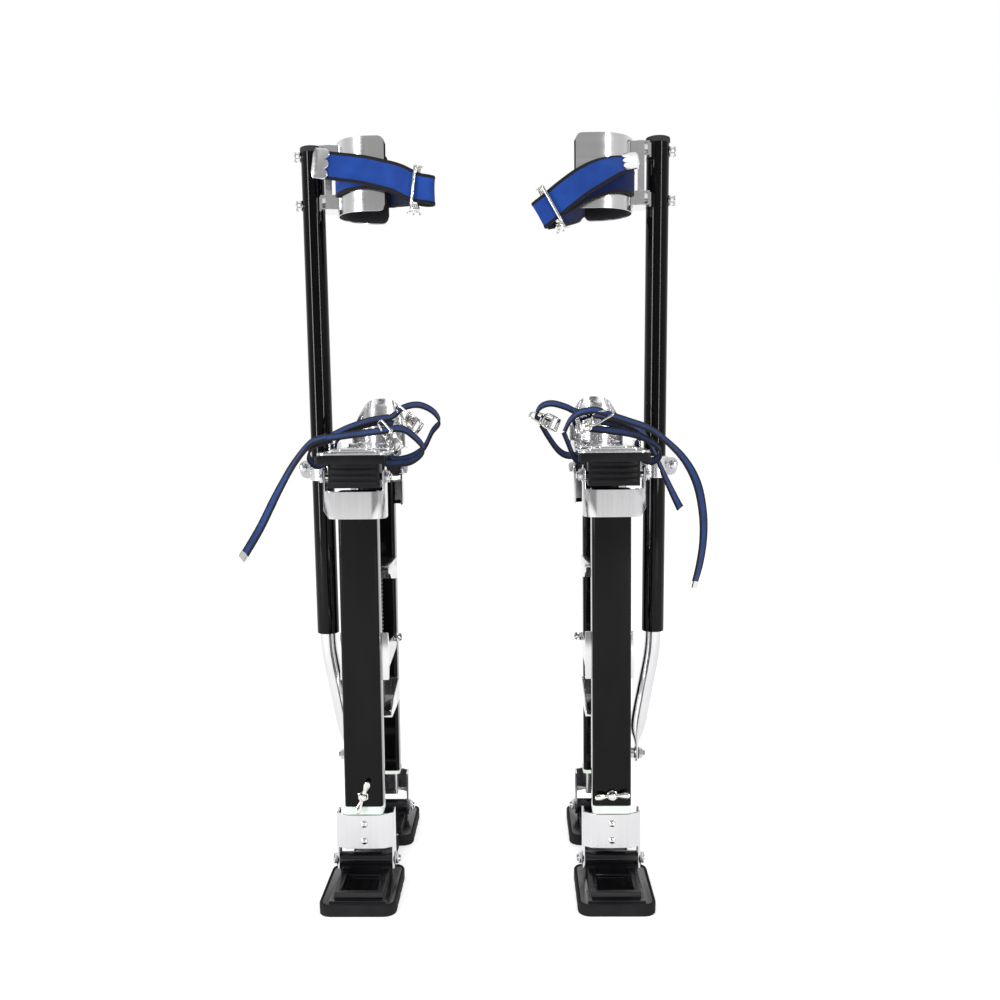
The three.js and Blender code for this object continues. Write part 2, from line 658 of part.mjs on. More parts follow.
function pieces(name) {
  const frontEnds = [-FRONT_WING.inboard - GAP, FRONT_WING.outboard + GAP];
  return [
    ["rubber_sole", "rubber", rubberSole()],
    ["floor_plate", "casting", floorPlate()],
    ["front_lower_pivot", "steel", pivotBolt(FRONT_Y, LOWER_PIVOT_Z, -WING - GAP, WING + GAP)],
    ["rear_lower_pivot", "steel", pivotBolt(REAR_Y, LOWER_PIVOT_Z, -WING - GAP, WING + GAP)],
    ["front_lower_bracket", "aluminium", lowerBracket(FRONT_Y, 106, false)],
    ["front_inner_tube", "aluminium", innerTube(FRONT_Y, 60)],
    ["rear_lower_bracket", "aluminium", lowerBracket(REAR_Y, 93, true)],
    ["rear_inner_tube", "aluminium", innerTube(REAR_Y, 60)],
    ["front_outer_tube", "gloss_black", outerTube(FRONT_Y, FRONT_OUTER_BOTTOM, true)],
    ["front_upper_bracket", "aluminium", upperBracket(FRONT_Y, false)],
    ["front_wing_bolt", "steel", wingBolt(WING_TURN[name])],
    ["front_spring_shelf", "aluminium", springShelf()],
    ["rear_outer_tube", "gloss_black", outerTube(REAR_Y, REAR_OUTER_BOTTOM, false)],
    ["rear_upper_bracket", "aluminium", upperBracket(REAR_Y, true)],
    ["rear_spring_frame", "aluminium", springFrame()],
    ["upper_spring", "spring", springSleeve(SHELF.top + GAP, FRAME.top - FRAME.plate - GAP)],
    ["lower_spring", "spring", springSleeve(FRAME.bottom + FRAME.plate + GAP, SHELF.bottom - GAP)],
    ["leg_pole", "gloss_black", legPole(name)],
    ["strut_tube", "aluminium", strutTube()],
    ["yoke_bolt", "aluminium", yokeBolt()],
    ["cuff_mount", "aluminium", cuffMount()],
    ["calf_cuff", "aluminium", calfCuff(CUFF_ARMS[name])],
    ["cuff_pad", "foam", cuffPad(CUFF_ARMS[name])],
    ["calf_strap", "webbing", calfStrap()],
    ["hinge_frame", "casting", hingeFrame()],
    ["foot_plate", "aluminium", footPlate()],
    ["heel_cup", "aluminium", heelCup()],
    ["front_upper_pivot", "steel", pivotBolt(FRONT_Y, UPPER_PIVOT_Z, ...frontEnds)],
    ["toe_strap", "webbing", toeStrap(TOE_TAIL[name])],
    ["ankle_strap", "webbing", ankleStrap()],
  ];
}

function meshOf(name, finish, body) {
  const { vertProperties, triVerts } = body.getMesh();
  const g = new THREE.BufferGeometry();
  g.setAttribute("position", new THREE.BufferAttribute(vertProperties, 3));
  g.setIndex(new THREE.BufferAttribute(triVerts, 1));
  g.computeVertexNormals();
  const mesh = new THREE.Mesh(g, new THREE.MeshStandardMaterial(FINISH[finish]));
  mesh.name = name;
  return mesh;
}

function stilt(name, side) {
  const group = new THREE.Group();
  for (const [piece, finish, body] of pieces(name))
    group.add(meshOf(name + "_" + piece, finish, side > 0 ? body : body.mirror([1, 0, 0])));
  group.position.x = (side * PAIR_SPACING) / 2;
  return group;
}

const stilts = new THREE.Group();
stilts.add(stilt("left", -1), stilt("right", 1));

export default stilts;
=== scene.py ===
"""The looks of a pair of drywall stilts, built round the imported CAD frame.

Lengths inside the helpers are millimetres in a stilt's own frame: u points outboard, towards the leg
pole, y points to the heel and z up, with y = 0 at the middle of the sole. Stilt.place() turns that
into the row frame in metres, and mirrors it for the stilt on the -X side.
"""
import math

import bmesh
import bpy
from mathutils import Matrix, Vector


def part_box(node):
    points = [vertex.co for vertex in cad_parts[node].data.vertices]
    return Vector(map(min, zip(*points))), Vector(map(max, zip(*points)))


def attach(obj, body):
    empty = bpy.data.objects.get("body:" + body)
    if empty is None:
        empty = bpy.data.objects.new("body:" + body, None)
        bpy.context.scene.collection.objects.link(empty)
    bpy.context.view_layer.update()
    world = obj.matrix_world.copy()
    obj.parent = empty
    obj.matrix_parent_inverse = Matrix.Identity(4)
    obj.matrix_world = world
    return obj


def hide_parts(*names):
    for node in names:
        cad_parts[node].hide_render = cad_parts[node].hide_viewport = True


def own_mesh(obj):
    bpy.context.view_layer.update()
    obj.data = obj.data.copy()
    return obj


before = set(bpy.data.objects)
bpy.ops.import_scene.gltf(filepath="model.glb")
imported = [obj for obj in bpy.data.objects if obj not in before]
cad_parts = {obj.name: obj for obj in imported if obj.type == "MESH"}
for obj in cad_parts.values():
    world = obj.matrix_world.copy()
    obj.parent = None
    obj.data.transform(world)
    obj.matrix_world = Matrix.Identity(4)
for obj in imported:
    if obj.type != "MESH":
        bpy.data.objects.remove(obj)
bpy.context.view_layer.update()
MM = 0.001
TAU = 2 * math.pi


# ---------------------------------------------------------------- materials
def node_material(name):
    """A new material, its node tree and its Principled shader."""
    material = bpy.data.materials.new(name)
    material.use_nodes = True
    tree = material.node_tree
    tree.nodes.clear()
    out = tree.nodes.new("ShaderNodeOutputMaterial")
    shader = tree.nodes.new("ShaderNodeBsdfPrincipled")
    tree.links.new(shader.outputs[0], out.inputs[0])
    return material, tree, shader


def add(tree, kind, **values):
    node = tree.nodes.new("ShaderNode" + kind)
    for key, value in values.items():
        if key in node.inputs:
            node.inputs[key].default_value = value
        else:
            setattr(node, key, value)
    return node


def noise(tree, scale, detail):
    """Noise in the piece's own space: scale is one number, or one each for x, y and z."""
    where = add(tree, "TexCoord")
    mapping = add(tree, "Mapping")
    mapping.inputs["Scale"].default_value = scale if isinstance(scale, tuple) else (scale,) * 3
    tree.links.new(where.outputs["Object"], mapping.inputs["Vector"])
    node = add(tree, "TexNoise", Scale=1.0, Detail=detail)
    tree.links.new(mapping.outputs["Vector"], node.inputs["Vector"])
    return node.outputs["Fac"]


def ramp(tree, value, low, high, a, b):
    node = add(tree, "MapRange")
    node.inputs["From Min"].default_value = low
    node.inputs["From Max"].default_value = high
    node.inputs["To Min"].default_value = a
    node.inputs["To Max"].default_value = b
    tree.links.new(value, node.inputs["Value"])
    return node.outputs["Result"]


def maths(tree, operation, a, b):
    node = add(tree, "Math", operation=operation)
    for socket, value in zip(node.inputs, (a, b)):
        if isinstance(value, (int, float)):
            socket.default_value = value
        else:
            tree.links.new(value, socket)
    return node.outputs[0]


def blend_colours(tree, factor, a, b):
    node = add(tree, "Mix", data_type="RGBA")
    tree.links.new(factor, node.inputs[0])
    for socket, value in ((node.inputs[6], a), (node.inputs[7], b)):
        if isinstance(value, tuple):
            socket.default_value = (*value, 1)
        else:
            tree.links.new(value, socket)
    return node.outputs[2]


def scaled(colour, share):
    return tuple(c * share for c in colour)


def tint(tree, shader, factor, low, high, colour, other):
    """The base colour goes from colour to other as factor goes from low to high."""
    mixed = blend_colours(tree, ramp(tree, factor, low, high, 0, 1), colour, other)
    tree.links.new(mixed, shader.inputs["Base Color"])


def bump(tree, shader, height, strength, distance):
    node = add(tree, "Bump", Strength=strength, Distance=distance)
    tree.links.new(height, node.inputs["Height"])
    tree.links.new(node.outputs["Normal"], shader.inputs["Normal"])


def brushed_metal(name, colour, grain, roughness, depth=0.04, streak=0.16):
    """Metal with fine lines along one axis: grain is the scale of the noise along x, y and z."""
    material, tree, shader = node_material(name)
    shader.inputs["Metallic"].default_value = 1.0
    lines = noise(tree, grain, 4.0)
    cloud = ramp(tree, noise(tree, 11, 2.0), 0.35, 0.7, 0, 1)
    mixed = blend_colours(tree, cloud, scaled(colour, 0.9), colour)
    streaks = ramp(tree, lines, 0.35, 0.75, 0.0, streak)
    tinted = blend_colours(tree, streaks, mixed, (0.5, 0.5, 0.51))
    tree.links.new(tinted, shader.inputs["Base Color"])
    rough = ramp(tree, lines, 0.3, 0.7, roughness * 0.8, roughness * 1.25)
    tree.links.new(rough, shader.inputs["Roughness"])
    bump(tree, shader, lines, depth, 0.0002)
    return material


def painted(name, colour, roughness, specular, grain=0.0, speck=0.0):
    """Black paint or lacquer: grain is the height of its texture, speck how much dust dulls it."""
    material, tree, shader = node_material(name)
    shader.inputs["Specular IOR Level"].default_value = specular
    cloud = noise(tree, (26, 26, 9), 5.0)
    tint(tree, shader, cloud, 0.35, 0.75, colour, tuple(c * 1.9 + 0.0015 for c in colour))
    rough = ramp(tree, cloud, 0.3, 0.75, roughness * 0.8, roughness * 1.25 + speck)
    tree.links.new(rough, shader.inputs["Roughness"])
    bump(tree, shader, noise(tree, 900, 2.0), 0.02 + grain, 0.0003)
    return material


def woven(name, dark, bright, pitch, fuzz, edge=0.0046):
    """Webbing, from the strap's own map: x runs along it in metres, y across it in metres from its
    middle, and z is the half width. Its edge tape is black."""
    material, tree, shader = node_material(name)
    shader.inputs["Sheen Weight"].default_value = 0.08
    shader.inputs["Sheen Roughness"].default_value = 0.5
    shader.inputs["Specular IOR Level"].default_value = 0.15
    strap_map = add(tree, "Attribute", attribute_name="strap_map")
    split = add(tree, "SeparateXYZ")
    tree.links.new(strap_map.outputs["Vector"], split.inputs[0])
    x, y, half = split.outputs
    ribs = maths(tree, "SINE", maths(tree, "MULTIPLY", x, TAU / pitch), 0)
    cords = maths(tree, "SINE", maths(tree, "MULTIPLY", y, TAU / (pitch * 0.8)), 0)
    weave = maths(tree, "MULTIPLY", maths(tree, "MULTIPLY", ribs, cords), 0.5)
    fibres = noise(tree, 1400, 4.0)
    height = maths(tree, "ADD", weave, maths(tree, "MULTIPLY", fibres, fuzz))
    cloth = blend_colours(tree, ramp(tree, height, -0.4, 0.4 + fuzz, 0.0, 1.0), dark, bright)
    # Painted highlight and painted shade: broad noise patches lift the cloth towards a brighter blue and drop it
    # towards the dark colour.
    painted_highlight = ramp(tree, noise(tree, 45, 3.0), 0.35, 0.7, 0.0, 0.3)
    cloth = blend_colours(tree, painted_highlight, cloth, scaled(bright, 1.25))
    shade = ramp(tree, noise(tree, 16, 2.0), 0.4, 0.62, 0.0, 0.4)
    cloth = blend_colours(tree, shade, cloth, dark)
    rim = maths(tree, "SUBTRACT", half, maths(tree, "ABSOLUTE", y, 0))
    border = maths(tree, "LESS_THAN", rim, edge)
    colour = blend_colours(tree, border, cloth, (0.008, 0.008, 0.011))
    tree.links.new(colour, shader.inputs["Base Color"])
    tree.links.new(ramp(tree, fibres, 0.2, 0.8, 0.62, 0.95), shader.inputs["Roughness"])
    bump(tree, shader, height, 0.45, 0.0006)
    return material


def soft_black(name, colour, scale, strength):
    """Rubber, foam or dull plastic: scale and strength are those of its fine pebbled grain."""
    material, tree, shader = node_material(name)
    shader.inputs["Specular IOR Level"].default_value = 0.2
    fine = noise(tree, scale, 5.0)
    tint(tree, shader, noise(tree, 30, 3.0), 0.3, 0.7, colour, scaled(colour, 1.8))
    tree.links.new(ramp(tree, fine, 0.3, 0.7, 0.7, 0.95), shader.inputs["Roughness"])
    bump(tree, shader, fine, strength, 0.0006)
    return material


def translucent_plastic(name, colour):
    material, tree, shader = node_material(name)
    shader.inputs["Roughness"].default_value = 0.4
    shader.inputs["Subsurface Weight"].default_value = 0.15
    fine = noise(tree, 120, 3.0)
    tint(tree, shader, fine, 0.3, 0.7, colour, scaled(colour, 0.9))
    bump(tree, shader, fine, 0.1, 0.0004)
    return material


MATERIALS = {
    "upright": brushed_metal(
        "brushed_along_z", (0.66, 0.66, 0.67), (300, 300, 4), 0.17, 0.02, 0.12
    ),
    "sheet": brushed_metal("brushed_across", (0.8, 0.8, 0.81), (8, 8, 420), 0.2, 0.02),
    "deck": brushed_metal("brushed_deck", (0.72, 0.72, 0.73), (300, 8, 300), 0.24, 0.02),
    "steel": brushed_metal("zinc_plate", (0.62, 0.62, 0.64), 260, 0.16, 0.01),
    "nickel": brushed_metal("nickel_wire", (0.72, 0.71, 0.68), 300, 0.12, 0.01, 0.08),
    "tube": painted("gloss_black_tube", (0.0012, 0.0012, 0.0015), 0.06, 0.14),
    "casting": painted("black_casting", (0.004, 0.004, 0.005), 0.33, 0.14, 0.2, 0.1),
    "plate": painted("semi_gloss_plate", (0.004, 0.004, 0.005), 0.2, 0.4, 0.1, 0.06),
    "spring": painted("black_spring", (0.006, 0.006, 0.007), 0.2, 0.35),
    "rubber": soft_black("black_rubber", (0.007, 0.007, 0.008), 700, 0.25),
    "foam": soft_black("lining_foam", (0.006, 0.006, 0.007), 1500, 0.5),
    "cap": soft_black("cap_plastic", (0.02, 0.021, 0.023), 500, 0.12),
    "guide": translucent_plastic("guide_plastic", (0.78, 0.84, 0.74)),
    "calf_pile": woven("calf_pile", (0.005, 0.024, 0.16), (0.012, 0.064, 0.31), 0.0034, 1.3),
    # A darker copy of the calf webbing: painted shade for the strap parts that face away from the light.
    "calf_back": woven("calf_back", (0.002, 0.006, 0.04), (0.004, 0.016, 0.10), 0.0018, 0.2),
    "foot_web": woven("foot_webbing", (0.002, 0.006, 0.04), (0.012, 0.066, 0.29), 0.0018, 0.8),
}


# ---------------------------------------------------------------- mesh helpers
def smooth(mesh, degrees):
    for face in mesh.polygons:
        face.use_smooth = True
    mesh.set_sharp_from_angle(angle=math.radians(degrees))


def applied(obj):
    """Swaps the object's mesh for what its modifiers make of it."""
    graph = bpy.context.evaluated_depsgraph_get()
    graph.update()
    mesh = bpy.data.meshes.new_from_object(obj.evaluated_get(graph), depsgraph=graph)
    obj.modifiers.clear()
    obj.data = mesh
    return obj


def bevelled(obj, width, segments=2, degrees=30):
    modifier = obj.modifiers.new("bevel", "BEVEL")
    modifier.width = width * MM
    modifier.segments = segments
    modifier.limit_method = "ANGLE"
    modifier.angle_limit = math.radians(degrees)
    modifier.use_clamp_overlap = True
    return applied(obj)


class Stilt:
    """One stilt: its side is -1 or 1, and its nodes and bodies carry its name."""

    def __init__(self, name, side):
        self.name = name
        self.side = side
        low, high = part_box(name + "_foot_plate")
        self.middle = (low[0] + high[0]) / 2

    def place(self, point):
        u, y, z = point
        return (self.middle + self.side * u * MM, y * MM, z * MM)

    def box(self, node):
        """A node's box in this stilt's own frame: lowest and highest u, y, z."""
        low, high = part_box(self.name + "_" + node)
        us = sorted((x - self.middle) * self.side / MM for x in (low[0], high[0]))
        return ((us[0], low[1] / MM, low[2] / MM), (us[1], high[1] / MM, high[2] / MM))

    def piece(self, name, vertices, faces, material, body, slot, replaces=(), shade=32):
        """A new visible piece from vertices and faces in this stilt's own frame."""
        mesh = bpy.data.meshes.new(self.name + "_" + name)
        if self.side < 0:
            faces = [tuple(reversed(face)) for face in faces]
        mesh.from_pydata([self.place(v) for v in vertices], [], faces)
        mesh.update()
        obj = bpy.data.objects.new(self.name + "_" + name, mesh)
        bpy.context.scene.collection.objects.link(obj)
        return self.finish(obj, material, body, slot, replaces, shade)

    def solid(self, name, part, material, body, slot, replaces=(), shade=32):
        """A piece from a part's vertices and faces, with its faces turned outwards."""
        return fix_normals(self.piece(name, *part, material, body, slot, replaces, shade))

    def finish(self, obj, material, body, slot, replaces=(), shade=32):
        obj.data.materials.clear()
        obj.data.materials.append(MATERIALS[material])
        smooth(obj.data, shade)
        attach(obj, body if body == "root" else self.name + "_" + body)
        if replaces:
            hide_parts(*[self.name + "_" + node for node in replaces])
        return obj

    def refined(self, node, material, body, slot, width=0.6, segments=2, shade=35):
        """A finer copy of a CAD node: its flat faces made whole, and its edges rounded."""
        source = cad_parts[self.name + "_" + node].data
        work = bmesh.new()
        work.from_mesh(source)
        bmesh.ops.remove_doubles(work, verts=work.verts, dist=2e-6)
        if width:
            bmesh.ops.dissolve_limit(
                work, angle_limit=math.radians(1.5), verts=work.verts, edges=work.edges
            )
        vertices = [v.co.copy() for v in work.verts]
        faces = [tuple(v.index for v in f.verts) for f in work.faces]
        work.free()
        mesh = bpy.data.meshes.new(self.name + "_" + node + "_fine")
        mesh.from_pydata(vertices, [], faces)
        mesh.update()
        obj = bpy.data.objects.new(mesh.name, mesh)
        bpy.context.scene.collection.objects.link(obj)
        if width:
            bevelled(obj, width, segments)
        return self.finish(obj, material, body, slot, (node,), shade)


def catmull_rom(t, a, b, c, d):
    """The value at t, from 0 at b to 1 at c, of the curve through a, b, c and d."""
    bend = (2 * a - 5 * b + 4 * c - d) * t * t
    return 0.5 * (2 * b + (c - a) * t + bend + (3 * b - a - 3 * c + d) * t**3)


def spline(points, steps):
    """Points evenly spread in parameter along a Catmull-Rom curve through the given tuples."""
    before = tuple(2 * a - b for a, b in zip(points[0], points[1]))
    after = tuple(2 * a - b for a, b in zip(points[-1], points[-2]))
    ends = [before, *points, after]
    result = []
    for i in range(1, len(ends) - 2):
        lanes = list(zip(*ends[i - 1 : i + 3]))
        result += [tuple(catmull_rom(k / steps, *lane) for lane in lanes) for k in range(steps)]
    result.append(tuple(points[-1]))
    return result


def around(sides):
    """The cosine and sine at each of the given number of even steps round a turn."""
    return [(math.cos(TAU * k / sides), math.sin(TAU * k / sides)) for k in range(sides)]


def oval(centre, side, up, half_side, half_up, sides):
    """Points round an ellipse about centre, whose axes are the unit vectors side and up."""
    return [centre + side * (half_side * c) + up * (half_up * s) for c, s in around(sides)]


def arc(centre, r, start, steps, turn=90):
    """Points along an arc of turn degrees from start degrees, in u and y."""
    angles = [math.radians(start + turn * k / steps) for k in range(steps + 1)]
    return [(centre[0] + r * math.cos(a), centre[1] + r * math.sin(a)) for a in angles]


def swept_rings(rings, closed=False):
    """Faces over rings of equal size, with end caps unless the sweep closes on itself."""
    count, size = len(rings), len(rings[0])
    vertices = [v for ring in rings for v in ring]
    faces = []
    for i in range(count if closed else count - 1):
        j = (i + 1) % count
        for k in range(size):
            m = (k + 1) % size
            faces.append((i * size + k, i * size + m, j * size + m, j * size + k))
    if not closed:
        faces.append(tuple(reversed(range(size))))
        faces.append(tuple((count - 1) * size + k for k in range(size)))
    return vertices, faces


def wire(points, radius, sides=10, closed=False):
    """A round wire along points."""
    path = [Vector(p) for p in points]
    count = len(path)
    tangents = []
    for i in range(count):
        a = path[(i - 1) % count] if closed or i else path[0]
        b = path[(i + 1) % count] if closed or i < count - 1 else path[-1]
        tangents.append((b - a).normalized())
    normal = tangents[0].orthogonal().normalized()
    rings = []
    for at, along in zip(path, tangents):
        normal = (normal - along * normal.dot(along)).normalized()
        rings.append(oval(at, normal, along.cross(normal), radius, radius, sides))
    return swept_rings(rings, closed)


def lathe(profile, centre, axis="z", sides=24):
    """A closed turned form: profile is radius and height pairs, from axis to axis."""
    rings = []
    for r, h in profile:
        ring = []
        for c, s in around(sides):
            p, q = r * c, r * s
            offset = {"z": (p, q, h), "x": (h, p, q), "y": (q, h, p)}[axis]
            ring.append(tuple(c + o for c, o in zip(centre, offset)))
        rings.append(ring)
    return swept_rings(rings)


def joined(*parts):
    vertices, faces = [], []
    for v, f in parts:
        base = len(vertices)
        vertices += list(v)
        faces += [tuple(i + base for i in face) for face in f]
    return vertices, faces


def bent_sheet(plan, bottom, top, thick, rows):
    """A sheet that follows plan, a list of (u, y, normal_u, normal_y). bottom, top and thick are
    functions of the way along it from 0 to 1; top also gets the place's u, and thick the height's
    share. The thickness lies behind the normal."""
    columns = len(plan)
    ways = [0.0]
    for a, b in zip(plan, plan[1:]):
        ways.append(ways[-1] + math.hypot(b[0] - a[0], b[1] - a[1]))
    vertices, faces = [], []
    for inner in (0, 1):
        for way, (u, y, nu, ny) in zip(ways, plan):
            t = way / ways[-1]
            low, high = bottom(t), top(t, u)
            for r in range(rows + 1):
                off = thick(t, r / rows) if inner else 0
                z = low + (high - low) * r / rows
                vertices.append((u - nu * off, y - ny * off, z))
    size = columns * (rows + 1)
    at = lambda side, i, r: side * size + i * (rows + 1) + r
    for i in range(columns - 1):
        for r in range(rows):
            faces.append((at(0, i, r), at(0, i + 1, r), at(0, i + 1, r + 1), at(0, i, r + 1)))
            faces.append((at(1, i, r + 1), at(1, i + 1, r + 1), at(1, i + 1, r), at(1, i, r)))
        for r in (0, rows):
            faces.append((at(0, i, r), at(1, i, r), at(1, i + 1, r), at(0, i + 1, r)))
    for i in (0, columns - 1):
        for r in range(rows):
            faces.append((at(0, i, r), at(0, i, r + 1), at(1, i, r + 1), at(1, i, r)))
    return vertices, faces


def fix_normals(obj):
    work = bmesh.new()
    work.from_mesh(obj.data)
    bmesh.ops.recalc_face_normals(work, faces=work.faces)
    work.to_mesh(obj.data)
    work.free()
    return obj


# ---------------------------------------------------------------- webbing
def webbing(stilt, name, route, width, thick, material, body, replaces=(),
            edge=3.2, steps=8, tape=0.45):
    """A flat strap. route lists (u, y, z, side_u, side_y, side_z): the middle of the strap and the
    direction of its width there, which is upright if it isn't given. Its edge tape is a little
    thicker than the web."""
    places = spline([p if len(p) > 3 else (*p, 0, 0, 1) for p in route], steps)
    path = [Vector(p[:3]) for p in places]
    half = width / 2
    lanes = [-half, -half + edge * 0.4, -half + edge, -half + edge + 0.5]
    lanes += [half * k / 4 for k in (-2, -1, 0, 1, 2)] + [-x for x in reversed(lanes)]
    rings, marks = [], []
    length = 0.0
    for i, at in enumerate(path):
        if i:
            length += (at - path[i - 1]).length
        along = (path[min(i + 1, len(path) - 1)] - path[max(i - 1, 0)]).normalized()
        side = Vector(places[i][3:])
        side = (side - along * side.dot(along)).normalized()
        face = side.cross(along)
        upper, lower = [], []
        for x in lanes:
            rim = half - abs(x)
            t = thick / 2 + (tape if rim < edge else 0.0)
            if rim < 0.1:
                t *= 0.45
            upper.append(at + side * x + face * t)
            lower.append(at + side * x - face * t)
        rings.append(upper + lower[::-1])
        marks += [(length * MM, x * MM, half * MM) for x in lanes + lanes[::-1]]
    obj = stilt.solid(name, swept_rings(rings), material, body, "webbing", replaces, 50)
    layer = obj.data.attributes.new("strap_map", "FLOAT_VECTOR", "POINT")
    for item, mark in zip(layer.data, marks):
        item.vector = mark
    smooth(obj.data, 50)


# ---------------------------------------------------------------- camera, floor and light
CAMERA_AT = Vector((0.0465, -1.4361, 0.6641))
CAMERA_TURN, CAMERA_DIP, CAMERA_ROLL = (math.radians(a) for a in (-1.06, 5.14, -0.61))


def add_camera():
    turn, dip, roll = CAMERA_TURN, CAMERA_DIP, CAMERA_ROLL
    forward = Vector(
        (math.sin(turn) * math.cos(dip), math.cos(turn) * math.cos(dip), -math.sin(dip))
    )
    level = Vector((math.cos(turn), -math.sin(turn), 0))
    upward = level.cross(forward)
    right = level * math.cos(roll) + upward * math.sin(roll)
    up = upward * math.cos(roll) - level * math.sin(roll)
    data = bpy.data.cameras.new("camera")
    data.lens = 36.197
    data.sensor_width = 36
    camera = bpy.data.objects.new("camera", data)
    camera.matrix_world = Matrix.Translation(CAMERA_AT) @ Matrix(
        (right, up, -forward)
    ).transposed().to_4x4()
    bpy.context.scene.collection.objects.link(camera)
    bpy.context.scene.camera = camera


def add_floor():
    mesh = bpy.data.meshes.new("floor")
    mesh.from_pydata([(-9, -9, 0), (9, -9, 0), (9, 9, 0), (-9, 9, 0)], [], [(0, 1, 2, 3)])
    floor = bpy.data.objects.new("floor", mesh)
    bpy.context.scene.collection.objects.link(floor)
    material, tree, shader = node_material("floor_white")
    cloud = noise(tree, (2, 2, 2), 2.0)
    paper = blend_colours(
        tree, ramp(tree, cloud, 0.3, 0.7, 0, 1), (0.9, 0.9, 0.9), (0.92, 0.92, 0.92)
    )
    tree.links.new(paper, shader.inputs["Base Color"])
    shader.inputs["Roughness"].default_value = 0.9
    shader.inputs["Specular IOR Level"].default_value = 0.1
    shader.inputs["Emission Color"].default_value = (1, 1, 1, 1)
    shader.inputs["Emission Strength"].default_value = 0.46
    mesh.materials.append(material)


def area_light(name, at, target, width, height, power):
    data = bpy.data.lights.new(name, "AREA")
    data.shape = "RECTANGLE"
    data.size = width
    data.size_y = height
    data.energy = power
    light = bpy.data.objects.new(name, data)
    light.location = at
    light.rotation_euler = (Vector(target) - Vector(at)).to_track_quat("-Z", "Y").to_euler()
    light.visible_camera = False
    bpy.context.scene.collection.objects.link(light)


def add_light():
    """A white studio: bright behind and at the sides, dimmer from the front, with two tall strips
    that draw the long highlights on the tubes. The backdrop itself is plain white."""
    world = bpy.data.worlds.new("studio")
    bpy.context.scene.world = world
    world.use_nodes = True
    tree = world.node_tree
    tree.nodes.clear()
    out = tree.nodes.new("ShaderNodeOutputWorld")
    backdrop = add(tree, "Background", Strength=1.0)
    backdrop.inputs["Color"].default_value = (1, 1, 1, 1)
    studio = add(tree, "Background")
    where = add(tree, "TexCoord")
    split = add(tree, "SeparateXYZ")
    tree.links.new(where.outputs["Generated"], split.inputs[0])
    level = ramp(tree, split.outputs[1], -1.0, -0.7, 0.42, 0.85)
    aside = maths(tree, "ABSOLUTE", split.outputs[0], 0.0)
    rise = ramp(tree, aside, 0.3, 0.42, 0.0, 0.62)
    drop = ramp(tree, aside, 0.5, 0.72, 0.0, 0.62)
    flag = maths(tree, "SUBTRACT", 1.0, maths(tree, "SUBTRACT", rise, drop))
    front = maths(tree, "MULTIPLY", level, flag)
    behind = ramp(tree, split.outputs[1], 0.0, 0.9, 0.0, 0.6)
    tree.links.new(maths(tree, "ADD", front, behind), studio.inputs["Strength"])
    rays = add(tree, "LightPath")
    mixed = add(tree, "MixShader")
    tree.links.new(rays.outputs["Is Camera Ray"], mixed.inputs[0])
    tree.links.new(studio.outputs[0], mixed.inputs[1])
    tree.links.new(backdrop.outputs[0], mixed.inputs[2])
    tree.links.new(mixed.outputs[0], out.inputs[0])
    area_light("strip_left", (-2.5, -2.3, 1.0), (0, 0, 0.75), 0.4, 1.9, 66)
    area_light("strip_right", (2.0, -2.7, 1.1), (0, 0, 0.75), 0.24, 1.7, 40)
    area_light("overhead", (0, -0.2, 3.2), (0, 0, 0), 2.6, 2.6, 12)
    bpy.context.scene.view_settings.view_transform = "Standard"


# ---------------------------------------------------------------- small hardware
def block(low, high, edge=0.0):
    """A box whose long edges along x are chamfered by edge."""
    (x0, y0, z0), (x1, y1, z1) = low, high
    e = edge
    section = [
        (y0 + e, z0),
        (y1 - e, z0),
        (y1, z0 + e),
        (y1, z1 - e),
        (y1 - e, z1),
        (y0 + e, z1),
        (y0, z1 - e),
        (y0, z0 + e),
    ]
    if not e:
        section = [(y0, z0), (y1, z0), (y1, z1), (y0, z1)]
    rings = []
    for x, shrink in ((x0, e * 0.6), (x0 + e * 0.6, 0), (x1 - e * 0.6, 0), (x1, e * 0.6)):
        cy, cz = (y0 + y1) / 2, (z0 + z1) / 2
        fy, fz = 1 - shrink / max((y1 - y0) / 2, 1e-6), 1 - shrink / max((z1 - z0) / 2, 1e-6)
        rings.append([(x, cy + (y - cy) * fy, cz + (z - cz) * fz) for y, z in section])
    return swept_rings(rings)


def hex_nut(at, axis, radius, height, dome=0.0):
    """A six-sided nut or bolt head whose corners are turned off, with a domed end."""
    profile = [
        (radius * 0.9, 0), (radius, height * 0.12), (radius, height * 0.88), (radius * 0.9, height)
    ]
    if dome:
        profile += [
            (radius * 0.7, height),
            (radius * 0.62, height + dome * 0.6),
            (radius * 0.3, height + dome),
        ]
    return lathe(profile, at, axis, 6)


def thread(at, axis, radius, length, pitch=1.2):
    """A threaded shank, as a turned form with a ridge at each pitch."""
    profile = []
    for i in range(int(abs(length) / pitch) + 1):
        h = math.copysign(i * pitch, length)
        profile += [(radius, h), (radius * 0.84, h + math.copysign(pitch / 2, length))]
    profile.append((radius * 0.7, length))
    return lathe(profile, at, axis, 20)


def washer(at, axis, radius, thick):
    return lathe(
        [(radius * 0.94, 0), (radius, thick * 0.3), (radius, thick * 0.7), (radius * 0.94, thick)],
        at,
        axis,
        36,
    )


def oriented(part, centre, along, across):
    """Turns a part drawn along x, across y and standing on z into place."""
    a = Vector(along).normalized()
    b = Vector(across)
    b = (b - a * b.dot(a)).normalized()
    n = a.cross(b)
    vertices, faces = part
    return [
        tuple(Vector(centre) + a * v[0] + b * v[1] + n * v[2]) for v in map(Vector, vertices)
    ], faces


